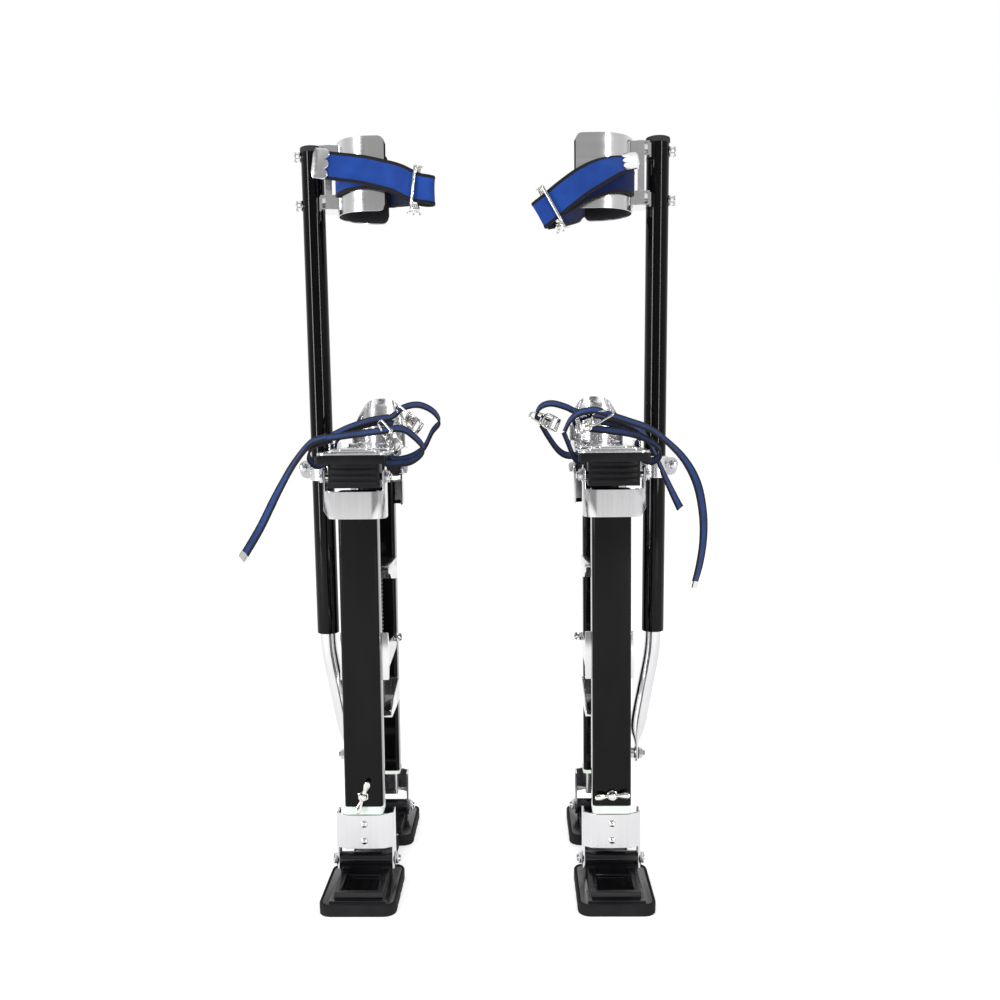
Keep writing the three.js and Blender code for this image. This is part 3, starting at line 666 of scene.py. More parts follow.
def wire_loop(corners, radius, corner_steps=4):
    """A closed wire through corners, with its bends rounded."""
    count = len(corners)
    points = []
    for i in range(count):
        before, at, after = (Vector(corners[(i + k) % count]) for k in (-1, 0, 1))
        turn = min((before - at).length, (after - at).length) * 0.35
        start = at + (before - at).normalized() * turn
        end = at + (after - at).normalized() * turn
        for k in range(corner_steps + 1):
            t = k / corner_steps
            points.append(start * (1 - t) ** 2 + at * (2 * t * (1 - t)) + end * t**2)
    return wire(points, radius, closed=True)


def open_wire(points, radius, steps=6):
    return wire(spline(points, steps), radius)


def foot_buckle(arm):
    """A wire buckle: a frame, a hinged bent plate with a roller, a prong and a long hook of wire."""
    frame_wire = wire_loop([(-11, -12, 0), (10, -12, 0), (10, 12, 0), (-11, 12, 0)], 1.7)
    bar = open_wire([(-2, -12, 0), (-2, 0, 0.4), (-2, 12, 0)], 1.4, 4)
    plate = block((-3, -8.5, 1.4), (14, 8.5, 3.4), 0.8)
    lip = block((12, -9, 0.2), (15, 9, 5.2), 0.9)
    roller = lathe([(2.0, -11), (2.7, -10.2), (2.7, 10.2), (2.0, 11)], (-11, 0, 0), "y", 20)
    prong = open_wire([(-2, 1.5, 1.6), (4, 1.5, 4.6), (12, 1.5, 3.2)], 1.3, 5)
    hook = wire_loop([(9, -9.5, 0.4), (arm, -4.5, 3), (arm, 4.5, 3), (9, 9.5, 0.4)], 1.5)
    rivet = lathe([(3.2, 0), (3.0, 0.9), (1.8, 1.6), (0.4, 1.8)], (5, -3, 3.4), "z", 20)
    return joined(frame_wire, bar, plate, lip, roller, prong, hook, rivet)


# ---------------------------------------------------------------- uprights
def rounded(half_u, half_y, r, y, corner_steps=7):
    """Points round a rectangle with round corners about (0, y), anticlockwise seen from above."""
    points = []
    for cu, cy, start in ((1, 1, 0), (-1, 1, 90), (-1, -1, 180), (1, -1, 270)):
        for k in range(corner_steps + 1):
            a = math.radians(start + 90 * k / corner_steps)
            points.append(
                (cu * (half_u - r) + r * math.cos(a), y + cy * (half_y - r) + r * math.sin(a))
            )
    return points


def pipe(sections, y):
    """A hollow tube through sections of half_u, half_y, corner and z, closing on itself."""
    rings = [[(u, v, z) for u, v in rounded(a, b, r, y)] for a, b, r, z in sections]
    return swept_rings(rings, closed=True)


def outer_tube(stilt, node, body):
    low, high = stilt.box(node)
    half, depth = (high[0] - low[0]) / 2, (high[1] - low[1]) / 2
    y, z0, z1 = (high[1] + low[1]) / 2, low[2], high[2]
    wall, corner, edge = 1.7, 5.0, 0.5
    sections = [
        (half - edge, depth - edge, corner - edge, z0),
        (half, depth, corner, z0 + edge),
        (half, depth, corner, z1 - edge),
        (half - edge, depth - edge, corner - edge, z1),
        (half - wall, depth - wall, corner - wall, z1),
        (half - wall, depth - wall, corner - wall, z0),
    ]
    stilt.solid(node + "_shell", pipe(sections, y), "tube", body, "gloss_black", (node,))


def guide(stilt, y, z0, z1, body, name, lip):
    sections = [
        (26 + lip, 16 + lip, 4.6, z0),
        (26.4 + lip, 16.4 + lip, 5, z0 + 0.6),
        (26.4 + lip, 16.4 + lip, 5, z1 - 0.5),
        (26 + lip, 16 + lip, 4.6, z1),
        (23.8, 13.8, 3.4, z1),
        (23.8, 13.8, 3.4, z0),
    ]
    stilt.solid(name, pipe(sections, y), "guide", body, "foam")


def coil_spring(stilt, node, turns, anchor_top):
    """An open coil whose end turns lie flat."""
    low, high = stilt.box(node)
    centre_y = (low[1] + high[1]) / 2
    z0, z1 = low[2], high[2]
    wire_r = 2.3
    radius = (high[1] - low[1]) / 2 - wire_r
    per_turn = 22
    points = []
    for i in range(turns * per_turn + 1):
        t = i / (turns * per_turn)
        a = TAU * i / per_turn
        dead = 0.06
        rise = min(max((t - dead) / (1 - 2 * dead), 0), 1)
        flat = (min(t, dead) + max(t - 1 + dead, 0)) / (2 * dead)
        z = z0 + wire_r + (z1 - z0 - 2 * wire_r) * (rise * 0.9 + flat * 0.1)
        points.append((radius * math.cos(a), centre_y + radius * math.sin(a), z))
    obj = stilt.piece(
        node + "_coil", *wire(points, wire_r), "spring", "rear_upper", "spring", (node,), 60
    )
    anchor = stilt.place((0, centre_y, z1 if anchor_top else z0))
    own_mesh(obj)


def bracket_rivets(stilt, end):
    """Two domed rivets on the lower bracket's web, which faces out from the stilt."""
    low, high = stilt.box(end + "_lower_bracket")
    out = -1 if end == "front" else 1
    face = (low[1] + 2.4) if end == "front" else (high[1] - 2.4)
    profile = [(5.0, -0.6), (5.0, 0.2), (4.6, 1.4), (3.6, 2.6), (2.2, 3.3), (0.4, 3.6)]
    domes = [
        lathe([(r, out * h) for r, h in profile], (0, face, z), "y", 28) for z in (high[2] - 13, 69)
    ]
    stilt.solid(end + "_bracket_rivets", joined(*domes), "nickel", end + "_lower", "steel", (), 50)


def uprights(stilt):
    for end in ("front", "rear"):
        outer_tube(stilt, end + "_outer_tube", end + "_upper")
        stilt.refined(end + "_inner_tube", "upright", end + "_lower", "aluminium", 0.3)
        stilt.refined(end + "_lower_bracket", "upright", end + "_lower", "aluminium", 0.4, 2, 18)
        stilt.refined(end + "_upper_bracket", "upright", end + "_upper", "aluminium", 0.4, 2, 18)
        stilt.refined(end + "_lower_pivot", "steel", "root", "steel", 0.6)
        bracket_rivets(stilt, end)
    stilt.refined("front_upper_pivot", "steel", "platform", "steel", 0.6)
    wing_bolt(stilt)
    stilt.refined("front_spring_shelf", "upright", "front_upper", "aluminium", 0.6)
    stilt.refined("rear_spring_frame", "upright", "rear_upper", "aluminium", 0.6)
    coil_spring(stilt, "upper_spring", 19, True)
    coil_spring(stilt, "lower_spring", 17, False)
    for end, lip in (("front", 0.0), ("rear", 0.9)):
        tube_low, tube_high = stilt.box(end + "_outer_tube")
        bracket_top = stilt.box(end + "_lower_bracket")[1][2]
        y = (tube_low[1] + tube_high[1]) / 2
        top = tube_low[2] - 0.2 if not lip else tube_low[2] + 4
        guide(stilt, y, bracket_top + 0.6, top, end + "_upper", end + "_tube_guide", lip)
    shelf = stilt.box("front_spring_shelf")
    at = (shelf[0][0], 14, shelf[1][2] - 22)
    knob = joined(
        hex_nut(at, "x", 6.5, -4.5),
        thread(at, "x", 3.2, -11),
        lathe([(5.2, -7), (5.6, -8), (5.6, -10), (4.4, -11.5), (1, -12)], at, "x"),
    )
    stilt.solid("shelf_adjuster", knob, "nickel", "front_upper", "steel")


WING_TURN = {"left": 70, "right": -4}


def wing_bolt(stilt):
    """The bolt that holds the height: a turned hub with a hex flange and two lobed wings."""
    low, high = stilt.box("front_wing_bolt")
    u, z = (low[0] + high[0]) / 2, (low[2] + high[2]) / 2
    face = stilt.box("front_outer_tube")[0][1] - 0.3
    hub = lathe(
        [
            (0.3, -9.2),
            (2.5, -9.2),
            (2.8, -9.8),
            (4.4, -9.8),
            (5.0, -9.2),
            (5.3, -4.5),
            (6.2, -3),
            (6.2, 0),
        ],
        (u, face, z), "y", 32,
    )
    flange = hex_nut((u, face, z), "y", 7.8, -3.2)
    shank = lathe([(3.4, -1), (3.4, high[1] - face)], (u, face, z), "y")
    turn = math.radians(WING_TURN[stilt.name])
    wings = []
    for side in (-1, 1):
        along = Vector((side * math.cos(turn), 0, -side * math.sin(turn)))
        across = Vector((math.sin(turn), 0, math.cos(turn)))
        rings = []
        for reach, lift, tall, deep in spline(
            [
                (3, 4.5, 3.4, 2.4),
                (8, 4.8, 2.7, 1.9),
                (13, 5.8, 3.8, 1.7),
                (18, 7, 4.4, 1.6),
                (22, 7.8, 3.4, 1.3),
                (24, 8.2, 0.8, 0.5),
            ], 4
        ):
            centre = Vector((u, face - lift, z)) + along * reach
            ring = []
            for k in range(18):
                a = TAU * k / 18
                ring.append(
                    centre + across * (tall * math.cos(a)) + Vector((0, deep * math.sin(a), 0))
                )
            rings.append(ring)
        wings.append(swept_rings(rings))
    parts = joined(hub, flange, shank, *wings)
    stilt.solid("wing_bolt", parts, "nickel", "wing_bolt", "steel", ("front_wing_bolt",), 50)


def pivot_washers(stilt):
    """Washers and thread ends on the pivots, which the CAD bolts leave plain."""
    for node, body in (
        ("front_lower_pivot", "root"),
        ("rear_lower_pivot", "root"),
        ("front_upper_pivot", "platform"),
    ):
        low, high = stilt.box(node)
        y, z = (low[1] + high[1]) / 2, (low[2] + high[2]) / 2
        parts = joined(
            washer((low[0] + 4.6, y, z), "x", 9.6, 1.3),
            washer((high[0] - 5.9, y, z), "x", 9.6, 1.3),
            thread((low[0] + 1, y, z), "x", 4.9, -3.2),
            hex_nut((high[0] - 0.8, y, z), "x", 7.2, 0.8, 1.2),
        )
        stilt.solid(node + "_washers", parts, "steel", body, "steel")


# ---------------------------------------------------------------- standing plate
def sole_outline(length, half, inset, arc_steps=8):
    """The plate's outline: a lobe at each end with round corners, joined by a narrow waist."""
    corner, waist, lobe_front, lobe_rear = 16, 31, 124, 123
    end, side, neck = length / 2 - inset, half - inset, waist - inset
    front = -length / 2 + lobe_front - inset
    rear = length / 2 - lobe_rear + inset
    r = corner - inset
    points = []

    def arc(cu, cy, start):
        for k in range(arc_steps + 1):
            a = math.radians(start + 90 * k / arc_steps)
            points.append((cu + r * math.cos(a), cy + r * math.sin(a)))

    arc(side - r, -end + r, -90)
    arc(side - r, front - r, 0)
    points.extend([(neck, front), (neck, rear)])
    arc(side - r, rear + r, -90)
    arc(side - r, end - r, 0)
    arc(-side + r, end - r, 90)
    arc(-side + r, rear + r, 180)
    points.extend([(-neck, rear), (-neck, front)])
    arc(-side + r, front - r, 90)
    arc(-side + r, -end + r, 180)
    return points


def standing_plate(stilt):
    stilt.refined("rubber_sole", "rubber", "root", "rubber", 1.2, 3)
    stilt.refined("floor_plate", "plate", "root", "casting", 0.9, 3)
    low, high = stilt.box("rubber_sole")
    length, half = high[1] - low[1], (high[0] - low[0]) / 2
    profile = [(0, 7), (0, 14.0), (0.8, 15.6), (2.4, 16.1), (4.0, 15.4), (4.7, 13.8), (4.7, 7)]
    rings = [[(u, y, z) for u, y in sole_outline(length, half, inset)] for inset, z in profile]
    stilt.solid("sole_rim", swept_rings(rings, closed=True), "rubber", "root", "rubber")
    plate_top = 15
    screws = []
    for y in (-50, 53):
        for u in (-24, 24):
            screws.append(
                lathe(
                    [(5, 0), (5, 0.8), (3.8, 2.2), (1.6, 2.8), (0.3, 2.9)], (u, y, plate_top), "z"
                )
            )
    ribs = [block((u - 1, -142, 11.2), (u + 1, -84, 12.6), 0.5) for u in (-19, -7, 7, 19)]
    stilt.solid("plate_ribs", joined(*ribs), "plate", "root", "casting")
    stilt.solid("plate_screws", joined(*screws), "steel", "root", "steel")


# ---------------------------------------------------------------- leg pole, strut and yoke
class Pole:
    """Where the leaning pole is at each height, from the CAD node's box."""

    def __init__(self, stilt):
        low, high = stilt.box("leg_pole")
        lip = 1.2
        self.y = (low[1] + high[1]) / 2
        self.r = (high[1] - low[1]) / 2 - lip
        self.bottom, self.top = low[2] + 0.3, high[2] - 0.3
        self.u_bottom = low[0] + self.r
        self.u_top = high[0] - self.r - lip

    def at(self, z):
        return self.u_bottom + (self.u_top - self.u_bottom) * (z - self.bottom) / (
            self.top - self.bottom
        )

    def turned(self, profile, closed=False, sides=96):
        rings = [
            [
                (
                    self.at(z) + r * math.cos(TAU * k / sides),
                    self.y + r * math.sin(TAU * k / sides),
                    z,
                ) for k in range(sides)
            ]
            for r, z in profile
        ]
        return swept_rings(rings, closed)


def leg_pole(stilt, pole):
    wall, cap = 1.6, 10
    r, bottom, top = pole.r, pole.bottom, pole.top
    shell = [
        (r - 0.5, bottom),
        (r, bottom + 0.6),
        (r, top - cap),
        (r - wall, top - cap),
        (r - wall, bottom),
    ]
    stilt.solid(
        "pole_tube", pole.turned(shell, True), "tube", "rear_upper", "gloss_black", ("leg_pole",)
    )
    dome = [(r + 0.4, top - cap), (r + 1.2, top - cap + 0.8), (r + 1.2, top - 3.4), (r + 0.5, top - 2.2),
            (r - 1.5, top - 1.3), (r * 0.75, top - 0.6), (r * 0.4, top - 0.2), (0.3, top)]
    stilt.solid("pole_cap", pole.turned(dome), "cap", "rear_upper", "gloss_black", ("leg_pole",))


def strut(stilt, pole):
    """The bent strut: round in the pole, and pressed flat round its bolt at the rear upright."""
    _, high = stilt.box("strut_tube")
    y, full = pole.y, 12.7
    eye_u, eye_z = 57, 121
    course = [
        (pole.at(430), 430, full, full), (pole.at(330), 330, full, full), (
            pole.at(318) - 0.5, 300, full, full
        ),
        (78.5, 270, full, full), (69, 220, full, full), (61.5, 178, full, full), (
            58.6, 158, 10.5, 13.5
        ),
        (57.3, 146, 6, 14.2), (eye_u, 136, 3.6, 14.4), (eye_u, eye_z + 4, 3.5, 14.2), (
            eye_u, eye_z - 6, 3.5, 12.4
        ),
        (eye_u, eye_z - 11, 3.5, 8.8), (eye_u, eye_z - 14, 3.2, 3.0),
    ]
    places = spline(course, 6)
    rings = []
    for i, (u, z, half_u, half_y) in enumerate(places):
        u0, z0 = places[max(i - 1, 0)][:2]
        u1, z1 = places[min(i + 1, len(places) - 1)][:2]
        tangent = Vector((u1 - u0, 0, z1 - z0)).normalized()
        level = Vector((-tangent.z, 0, tangent.x))
        ring = []
        for k in range(40):
            a = TAU * k / 40
            ring.append(
                Vector((u, y, z)) + level * (half_u * math.cos(a)) + Vector(
                    (0, half_y * math.sin(a), 0)
                )
            )
        rings.append(ring)
    stilt.solid(
        "strut_bar", swept_rings(rings), "upright", "rear_upper", "aluminium", ("strut_tube",), 40
    )
    inner = 26.6
    bolt = joined(
        lathe(
            [(8, 0), (8.6, 0.6), (8.6, eye_u - 4.2 - inner), (8, eye_u - 3.6 - inner)],
            (inner, y, eye_z),
            "x",
            40,
        ),
        washer((eye_u + 3.4, y, eye_z), "x", 10.4, 1.4),
        hex_nut((eye_u + 4.8, y, eye_z), "x", 8.6, 5.6),
        thread((eye_u + 10, y, eye_z), "x", 4.4, min(high[0] - eye_u - 10, 4)),
    )
    stilt.solid("strut_bolt", bolt, "steel", "rear_upper", "steel", ("strut_tube",))


def yoke(stilt, pole):
    """The bright collar round the pole, with its arm to the upper bracket and its ear and bolts."""
    low, high = stilt.box("yoke_bolt")
    pivot_z = 575
    z0, z1 = pivot_z - 17, pivot_z + 16
    r = pole.r
    shell = [
        (r + 0.3, z0),
        (r + 3.4, z0),
        (r + 4, z0 + 0.8),
        (r + 4, z1 - 0.8),
        (r + 3.4, z1),
        (r + 0.3, z1),
    ]
    u = pole.at(pivot_z)
    arm = block((41, pole.y - 12.5, z0 + 1), (u - r + 1, pole.y + 12.5, z1 - 1), 1.6)
    ear_u, ear_z, face = u + 27, pivot_z + 3, pole.y - 12
    plan = [(u + 14, z1 - 3), (ear_u, z1 - 2), (ear_u + 6, z1 - 6), (ear_u + 7, ear_z - 2), (ear_u + 3, z0 + 6),
            (ear_u - 4, z0 + 3), (u + 14, z0 + 5)]
    ear = swept_rings([[(a, face + depth, b) for a, b in plan] for depth in (0, 6)])
    back = block((u + r - 2, face + 5, z0 + 5), (u + r + 8, pole.y + 6, z1 - 5), 1.4)
    head = joined(
        washer((ear_u, face, ear_z), "y", 7.4, -1.0),
        lathe(
            [(6.2, 0), (6.2, -1.8), (5.2, -3.2), (3, -4.1), (0.4, -4.4)],
            (ear_u, face - 1.0, ear_z),
            "y",
            40,
        ),
        hex_nut((ear_u, face + 6, ear_z), "y", 6.6, 5),
    )
    bolt = joined(
        washer((low[0] + 7.2, pole.y, pivot_z), "x", 9.4, -1.3),
        hex_nut((low[0] + 5.6, pole.y, pivot_z), "x", 8.2, -5),
        thread((low[0] + 1.5, pole.y, pivot_z), "x", 4.8, -1.5),
        lathe([(4.9, 0), (4.9, u - low[0] - 8)], (low[0] + 6, pole.y, pivot_z), "x"),
        hex_nut((high[0] - 7, pole.y, pivot_z), "x", 8.2, 5.4),
    )
    stilt.solid("yoke_collar", joined(pole.turned(shell, True), arm, ear, back), "sheet",
                            "rear_upper", "aluminium", ("yoke_bolt",))
    stilt.solid("yoke_bolts", joined(head, bolt), "steel", "rear_upper", "steel", ("yoke_bolt",))


# ---------------------------------------------------------------- calf cuff
def cuff_plan(radius, centre_u, centre_y, near_end, far_end, steps=60):
    """The cuff from above: the near arm, the round back towards the pole, and the far arm. Each
    point has its outward normal."""
    plan = []
    for k in range(8):
        plan.append((near_end + (centre_u - near_end) * k / 8, centre_y - radius, 0, -1))
    for k in range(steps + 1):
        a = math.radians(-90 + 180 * k / steps)
        plan.append(
            (
                centre_u + radius * math.cos(a),
                centre_y + radius * math.sin(a),
                math.cos(a),
                math.sin(a),
            )
        )
    for k in range(1, 9):
        plan.append((centre_u + (far_end - centre_u) * k / 8, centre_y + radius, 0, 1))
    return plan


def corner_drop(t, length, radius):
    """How far a sheet's edge comes in near its two ends, for round corners of the given radius."""
    d = min(t, 1 - t) * length
    if d >= radius:
        return 0.0
    return radius - math.sqrt(max(radius**2 - (radius - d) ** 2, 0))


def calf_cuff(stilt):
    low, high = stilt.box("calf_cuff")
    radius = (high[1] - low[1]) / 2
    centre_y, centre_u = (low[1] + high[1]) / 2, high[0] - radius
    near_end, far_end, z0, z1 = low[0], -18, low[2], high[2]
    length = 2 * centre_u - near_end - far_end + math.pi * radius
    plan = cuff_plan(radius, centre_u, centre_y, near_end, far_end)
    drop = lambda t: corner_drop(t, length, 9)
    edge = lambda t, s: 2.4 - 0.9 * abs(2 * s - 1) ** 8
    sheet = bent_sheet(plan, lambda t: z0 + drop(t), lambda t, u: z1 - drop(t), edge, 16)
    stilt.solid("cuff_shell", sheet, "sheet", "rear_upper", "aluminium", ("calf_cuff",))

    low, high = stilt.box("cuff_pad")
    inner = radius - 2.9
    pad_length = 2 * centre_u - low[0] - far_end + 2 + math.pi * inner
    pad_plan = cuff_plan(inner, centre_u, centre_y, low[0], far_end - 2)
    pad_drop = lambda t: corner_drop(t, pad_length, 10)

    def swell(t, s):
        hem = min(min(t, 1 - t) * pad_length, min(s, 1 - s) * (high[2] - low[2]))
        soft = min(hem / 9, 1)
        quilt = 0.35 * math.sin(t * TAU * 9) * soft
        return 1.6 + 3.6 * math.sqrt(1 - (1 - soft) ** 2) + quilt

    lining = bent_sheet(
        pad_plan, lambda t: low[2] + pad_drop(t), lambda t, u: high[2] - pad_drop(t), swell, 24
    )
    pad = stilt.solid("cuff_lining", lining, "foam", "rear_upper", "foam", ("cuff_pad",), 60)
    rivets = []
    for a in (-62, -20, 20, 62):
        c, s = math.cos(math.radians(a)), math.sin(math.radians(a))
        at = (centre_u + (radius - 0.6) * c, centre_y + (radius - 0.6) * s, (z0 + z1) / 2)
        dome = lathe([(4.6, 0), (4.6, 0.9), (3.6, 1.8), (1.8, 2.4), (0.3, 2.5)], (0, 0, 0), "z")
        rivets.append(oriented(dome, at, (0, 0, 1), (-s, c, 0)))
    stilt.solid("cuff_rivets", joined(*rivets), "steel", "rear_upper", "steel")


def cuff_mount(stilt, pole):
    stilt.refined("cuff_mount", "sheet", "rear_upper", "aluminium", 0, 2, 20)
    low, high = stilt.box("cuff_mount")
    parts = []
    for z in (low[2] + 10.5, high[2] - 10.5):
        u = pole.at(z) + pole.r
        parts += [
            washer((u + 0.2, pole.y, z), "x", 8.4, 1.4),
            hex_nut((u + 1.6, pole.y, z), "x", 7.9, 5.6),
            washer((u + 7.4, pole.y, z), "x", 7.0, 1.0),
            thread((u + 7, pole.y, z), "x", 3.9, 3.5),
            block((u + 6, pole.y - 1.4, z - 8), (u + 10, pole.y + 1.4, z + 8), 1.0),
        ]
    stilt.solid("cuff_bolts", joined(*parts), "nickel", "rear_upper", "steel")


def scalloped_plate(width, height):
    """A strap's crimped end: a plate with three round lobes, two rivets and a rolled edge."""
    outline = [(0, -height / 2), (width * 0.35, -height / 2)]
    for lobe in (-1, 0, 1):
        for k in range(9):
            a = math.radians(-90 + 180 * k / 8)
            outline.append(
                (
                    width * 0.62 + width * 0.34 * math.cos(a),
                    lobe * height / 3 + height / 6 * math.sin(a),
                )
            )
    outline += [
        (width * 0.35, height / 2),
        (0, height / 2),
        (-width * 0.12, height * 0.3),
        (-width * 0.12, -height * 0.3),
    ]
    middle = (width * 0.4, 0)
    rings = []
    for z, shrink in ((-1.9, 0.94), (-1.4, 1.0), (1.2, 1.0), (1.9, 0.93), (2.1, 0.8)):
        rings.append([(middle[0] + (x - middle[0]) * shrink, y * shrink, z) for x, y in outline])
    plate = swept_rings(rings)
    studs = [
        lathe([(3, 1.8), (2.9, 2.8), (1.8, 3.5), (0.3, 3.7)], (width * 0.45, y, 0), "z", 20) for y in (
            -height / 3, height / 3
        )
    ]
    ridge = open_wire(
        [(width * 0.1, -height * 0.42, 2), (width * 0.16, 0, 2.5), (width * 0.1, height * 0.42, 2)],
        1.1,
    )
    return joined(plate, ridge, *studs)


def calf_buckle(height):
    """A tall double bar round the strap, with a roller and a small clip at its lower end."""
    ring = wire_loop(
        [
            (-3, -height / 2, 3.4),
            (-3, height / 2, 3.4),
            (-3, height / 2, -4.5),
            (-3, -height / 2, -4.5),
        ],
        2.4,
    )
    bar = lathe(
        [
            (2.6, -height / 2 + 1),
            (3.8, -height / 2 + 2.4),
            (3.8, height / 2 - 2.4),
            (2.6, height / 2 - 1),
        ],
        (0.5, 0, 4.6),
        "y",
        28,
    )
    arms = [
        open_wire(
            [(-3, s * height / 2, 3.4), (2, s * (height / 2 + 1.2), 4.4), (6, s * height / 2, 3)],
            1.7,
        ) for s in (-1, 1)
    ]
    foot = -height / 2 - 4
    clip = block((-6, foot - 3.5, 0.5), (8, foot + 2.5, 4.5), 1.2)
    spikes = [
        open_wire(
            [(0, foot - 2, 3), (x, foot - 6, 4), (x * 1.4, foot - 10 + abs(x) * 0.3, 2.5)], 1.3
        ) for x in (-7, 0, 7)
    ]
    knob = lathe(
        [(2.4, 0), (3.4, 0.8), (3.4, 3.2), (2.2, 4.2), (0.3, 4.4)], (1, foot, 4.2), "z", 20
    )
    return joined(ring, bar, *arms, clip, knob, *spikes)


CALF_ROUTES = {
    "left": {
        "front": [
            (62, 53, 1020, 0, 0.1, 1), (34, 52, 1016, 0, 0.05, 1), (6, 50, 1012, 0, 0, 1), (
                -22, 46, 1005, 0, 0, 1
            ),
            (-48, 37, 996, 0, 0, 1), (-74, 30, 982, 0, 0, 1), (-92, 28, 978, 0, 0, 1), (
                -100.5, 32, 977, 0, 0, 1
            ),
            (-99, 38, 976, 0, 0, 1), (-88, 38.5, 976, 0, 0, 1), (-74, 36.5, 980, 0, 0, 1),
        ],
        "base": [
            (51, 104, 1000, 0, 0, 1), (47, 86, 1001, 0, 0, 1), (34, 71, 1003, 0, 0, 1),
            (16, 61.5, 1005, 0, 0, 1), (-5, 55.8, 1005, 0, 0, 1), (-28, 51, 1001, 0, 0, 1),
            (-50, 42, 992, 0, 0, 1), (-72, 33.5, 980, 0, 0, 1), (-84, 32.5, 977, 0, 0, 1),
        ],
        "far": [
            (-92, 34, 975, 0, 0, 1), (-76, 42, 977, 0, 0, 1), (-60, 66, 981, 0, 0, 1),
            (-47, 104, 988, 0, 0, 1), (-36, 146, 996, 0, 0, 1), (-24, 172, 1000, 0, 0, 1), (
                -6, 175, 1002, 0, 0, 1
            ),
        ],
        "plate": ((73, 50.5, 1022), (-1, 0, -0.12), (0, 0.1, 1), 22, 44),
        "buckle": ((-76, 29, 983), (-0.97, -0.1, -0.12), (-0.1, 0, 1), 54),
    },
    "right": {
        "front": [
            (46, 54, 1017, 0, 0.8, 0.6), (20, 52, 1013, 0, 0.6, 0.8), (
                -4, 47, 1003, -0.1, 0.3, 0.95
            ),
            (-30, 40, 988, -0.3, 0.1, 0.95), (-56, 32, 968, -0.42, 0, 0.9), (
                -74, 29, 953, -0.487, 0, 0.873
            ),
            (-86, 29, 944, -0.487, 0, 0.873), (-92, 33, 940, -0.487, 0, 0.873), (
                -89, 38, 941, -0.487, 0, 0.873
            ),
            (-78, 37, 949, -0.487, 0, 0.873),
        ],
        "base": [
            (51, 104, 996, 0, 0, 1), (47, 86, 996, 0, 0, 1), (34, 71, 996, 0, 0.1, 1), (16, 61, 994, 0, 0.2, 1), (
                -5, 55, 989, -0.1, 0.1, 1
            ),
            (-28, 48, 980, -0.3, 0, 0.95), (-52, 38, 965, -0.42, 0, 0.9), (
                -72, 33, 952, -0.487, 0, 0.873
            ),
            (-84, 33.4, 945, -0.487, 0, 0.873),
        ],
        "far": [
            (-84, 34, 938, -0.45, 0, 0.9), (-66, 42, 943, -0.3, 0, 0.95), (
                -48, 68, 951, -0.15, 0, 1
            ),
            (-33, 106, 962, -0.1, 0, 1), (-24, 146, 975, 0, 0, 1), (-14, 173, 985, 0, 0, 1), (
                0, 176, 990, 0, 0, 1
            ),
        ],
        "plate": ((50, 52, 1019), (-1, 0, -0.05), (0, 0.7, 0.7), 22, 40),
        "buckle": ((-77, 28, 953), (-0.873, -0.05, -0.487), (-0.487, 0, 0.873), 56),
    },
}


def calf_strap(stilt):
    routes = CALF_ROUTES[stilt.name]
    for part, width in (("front", 41), ("base", 39), ("far", 38)):
        # The far parts, and the right stilt's base, take the darker webbing copy as painted shade.
        cloth = "calf_pile" if part == "front" or (part, stilt.name) == (
            "base", "left"
        ) else "calf_back"
        webbing(
            stilt,
            "calf_strap_" + part,
            routes[part],
            width,
            2.2,
            cloth,
            "rear_upper",
            ("calf_strap",),
            4.2,
        )
    centre, along, across, width, height = routes["plate"]
    plate = oriented(scalloped_plate(width, height), centre, along, across)
    stilt.solid("calf_strap_end", plate, "sheet", "rear_upper", "steel")
    centre, along, across, height = routes["buckle"]
    buckle = oriented(calf_buckle(height), centre, along, across)
    stilt.solid("calf_buckle", buckle, "nickel", "rear_upper", "steel", shade=50)


# ---------------------------------------------------------------- foot platform
def heel_cup(stilt):
    low, high = stilt.box("heel_cup")
    r, centre_u, centre_y, base = 40, (low[0] + high[0]) / 2, 98, low[2]
    top = high[2]
    plan = [(centre_u + r, 88 + k * 2.5, 1, 0) for k in range(4)]
    for a in range(0, 181, 4):
        c, s = math.cos(math.radians(a)), math.sin(math.radians(a))
        plan.append((centre_u + r * c, centre_y + r * s, c, s))
    plan += [(centre_u - r, 95.5 - k * 2.5, -1, 0) for k in range(4)]

    def rise(t, u):
        fall = max(abs(u - centre_u) - 9, 0) / 31
        return top - (top - base - 30) * fall**2.3

    lip = lambda t, s: 2.4 + 1.6 * max((s - 0.88) / 0.12, 0)
    wall = bent_sheet(plan, lambda t: base, rise, lip, 22)
    floor = rounded_slab(37, (-58, 110), base, base + 3, 8)
    floor = ([(u + centre_u, v, z) for u, v, z in floor[0]], floor[1])
    stilt.solid("heel_shell", wall, "sheet", "heel", "aluminium", ("heel_cup",), 45)
    stilt.solid("heel_base", floor, "deck", "heel", "aluminium", ("heel_cup",))
    screws = []
    for u in (-20, 20):
        for y in (-28, 40):
            screws += [
                washer((centre_u + u, y, base + 3), "z", 8.5, 1.3),
                hex_nut((centre_u + u, y, base + 4.3), "z", 6.4, 4.2, 1.0),
            ]
    stilt.solid("heel_screws", joined(*screws), "steel", "heel", "steel")


def rounded_slab(half_u, span, z0, z1, r):
    half_y, y = (span[1] - span[0]) / 2, (span[0] + span[1]) / 2
    edge = 0.5
    sections = [(half_u - edge, half_y - edge, r, z0), (half_u, half_y, r, z0 + edge),
                (half_u, half_y, r, z1 - edge), (half_u - edge, half_y - edge, r, z1)]
    return swept_rings([[(u, v, z) for u, v in rounded(a, b, c, y)] for a, b, c, z in sections])


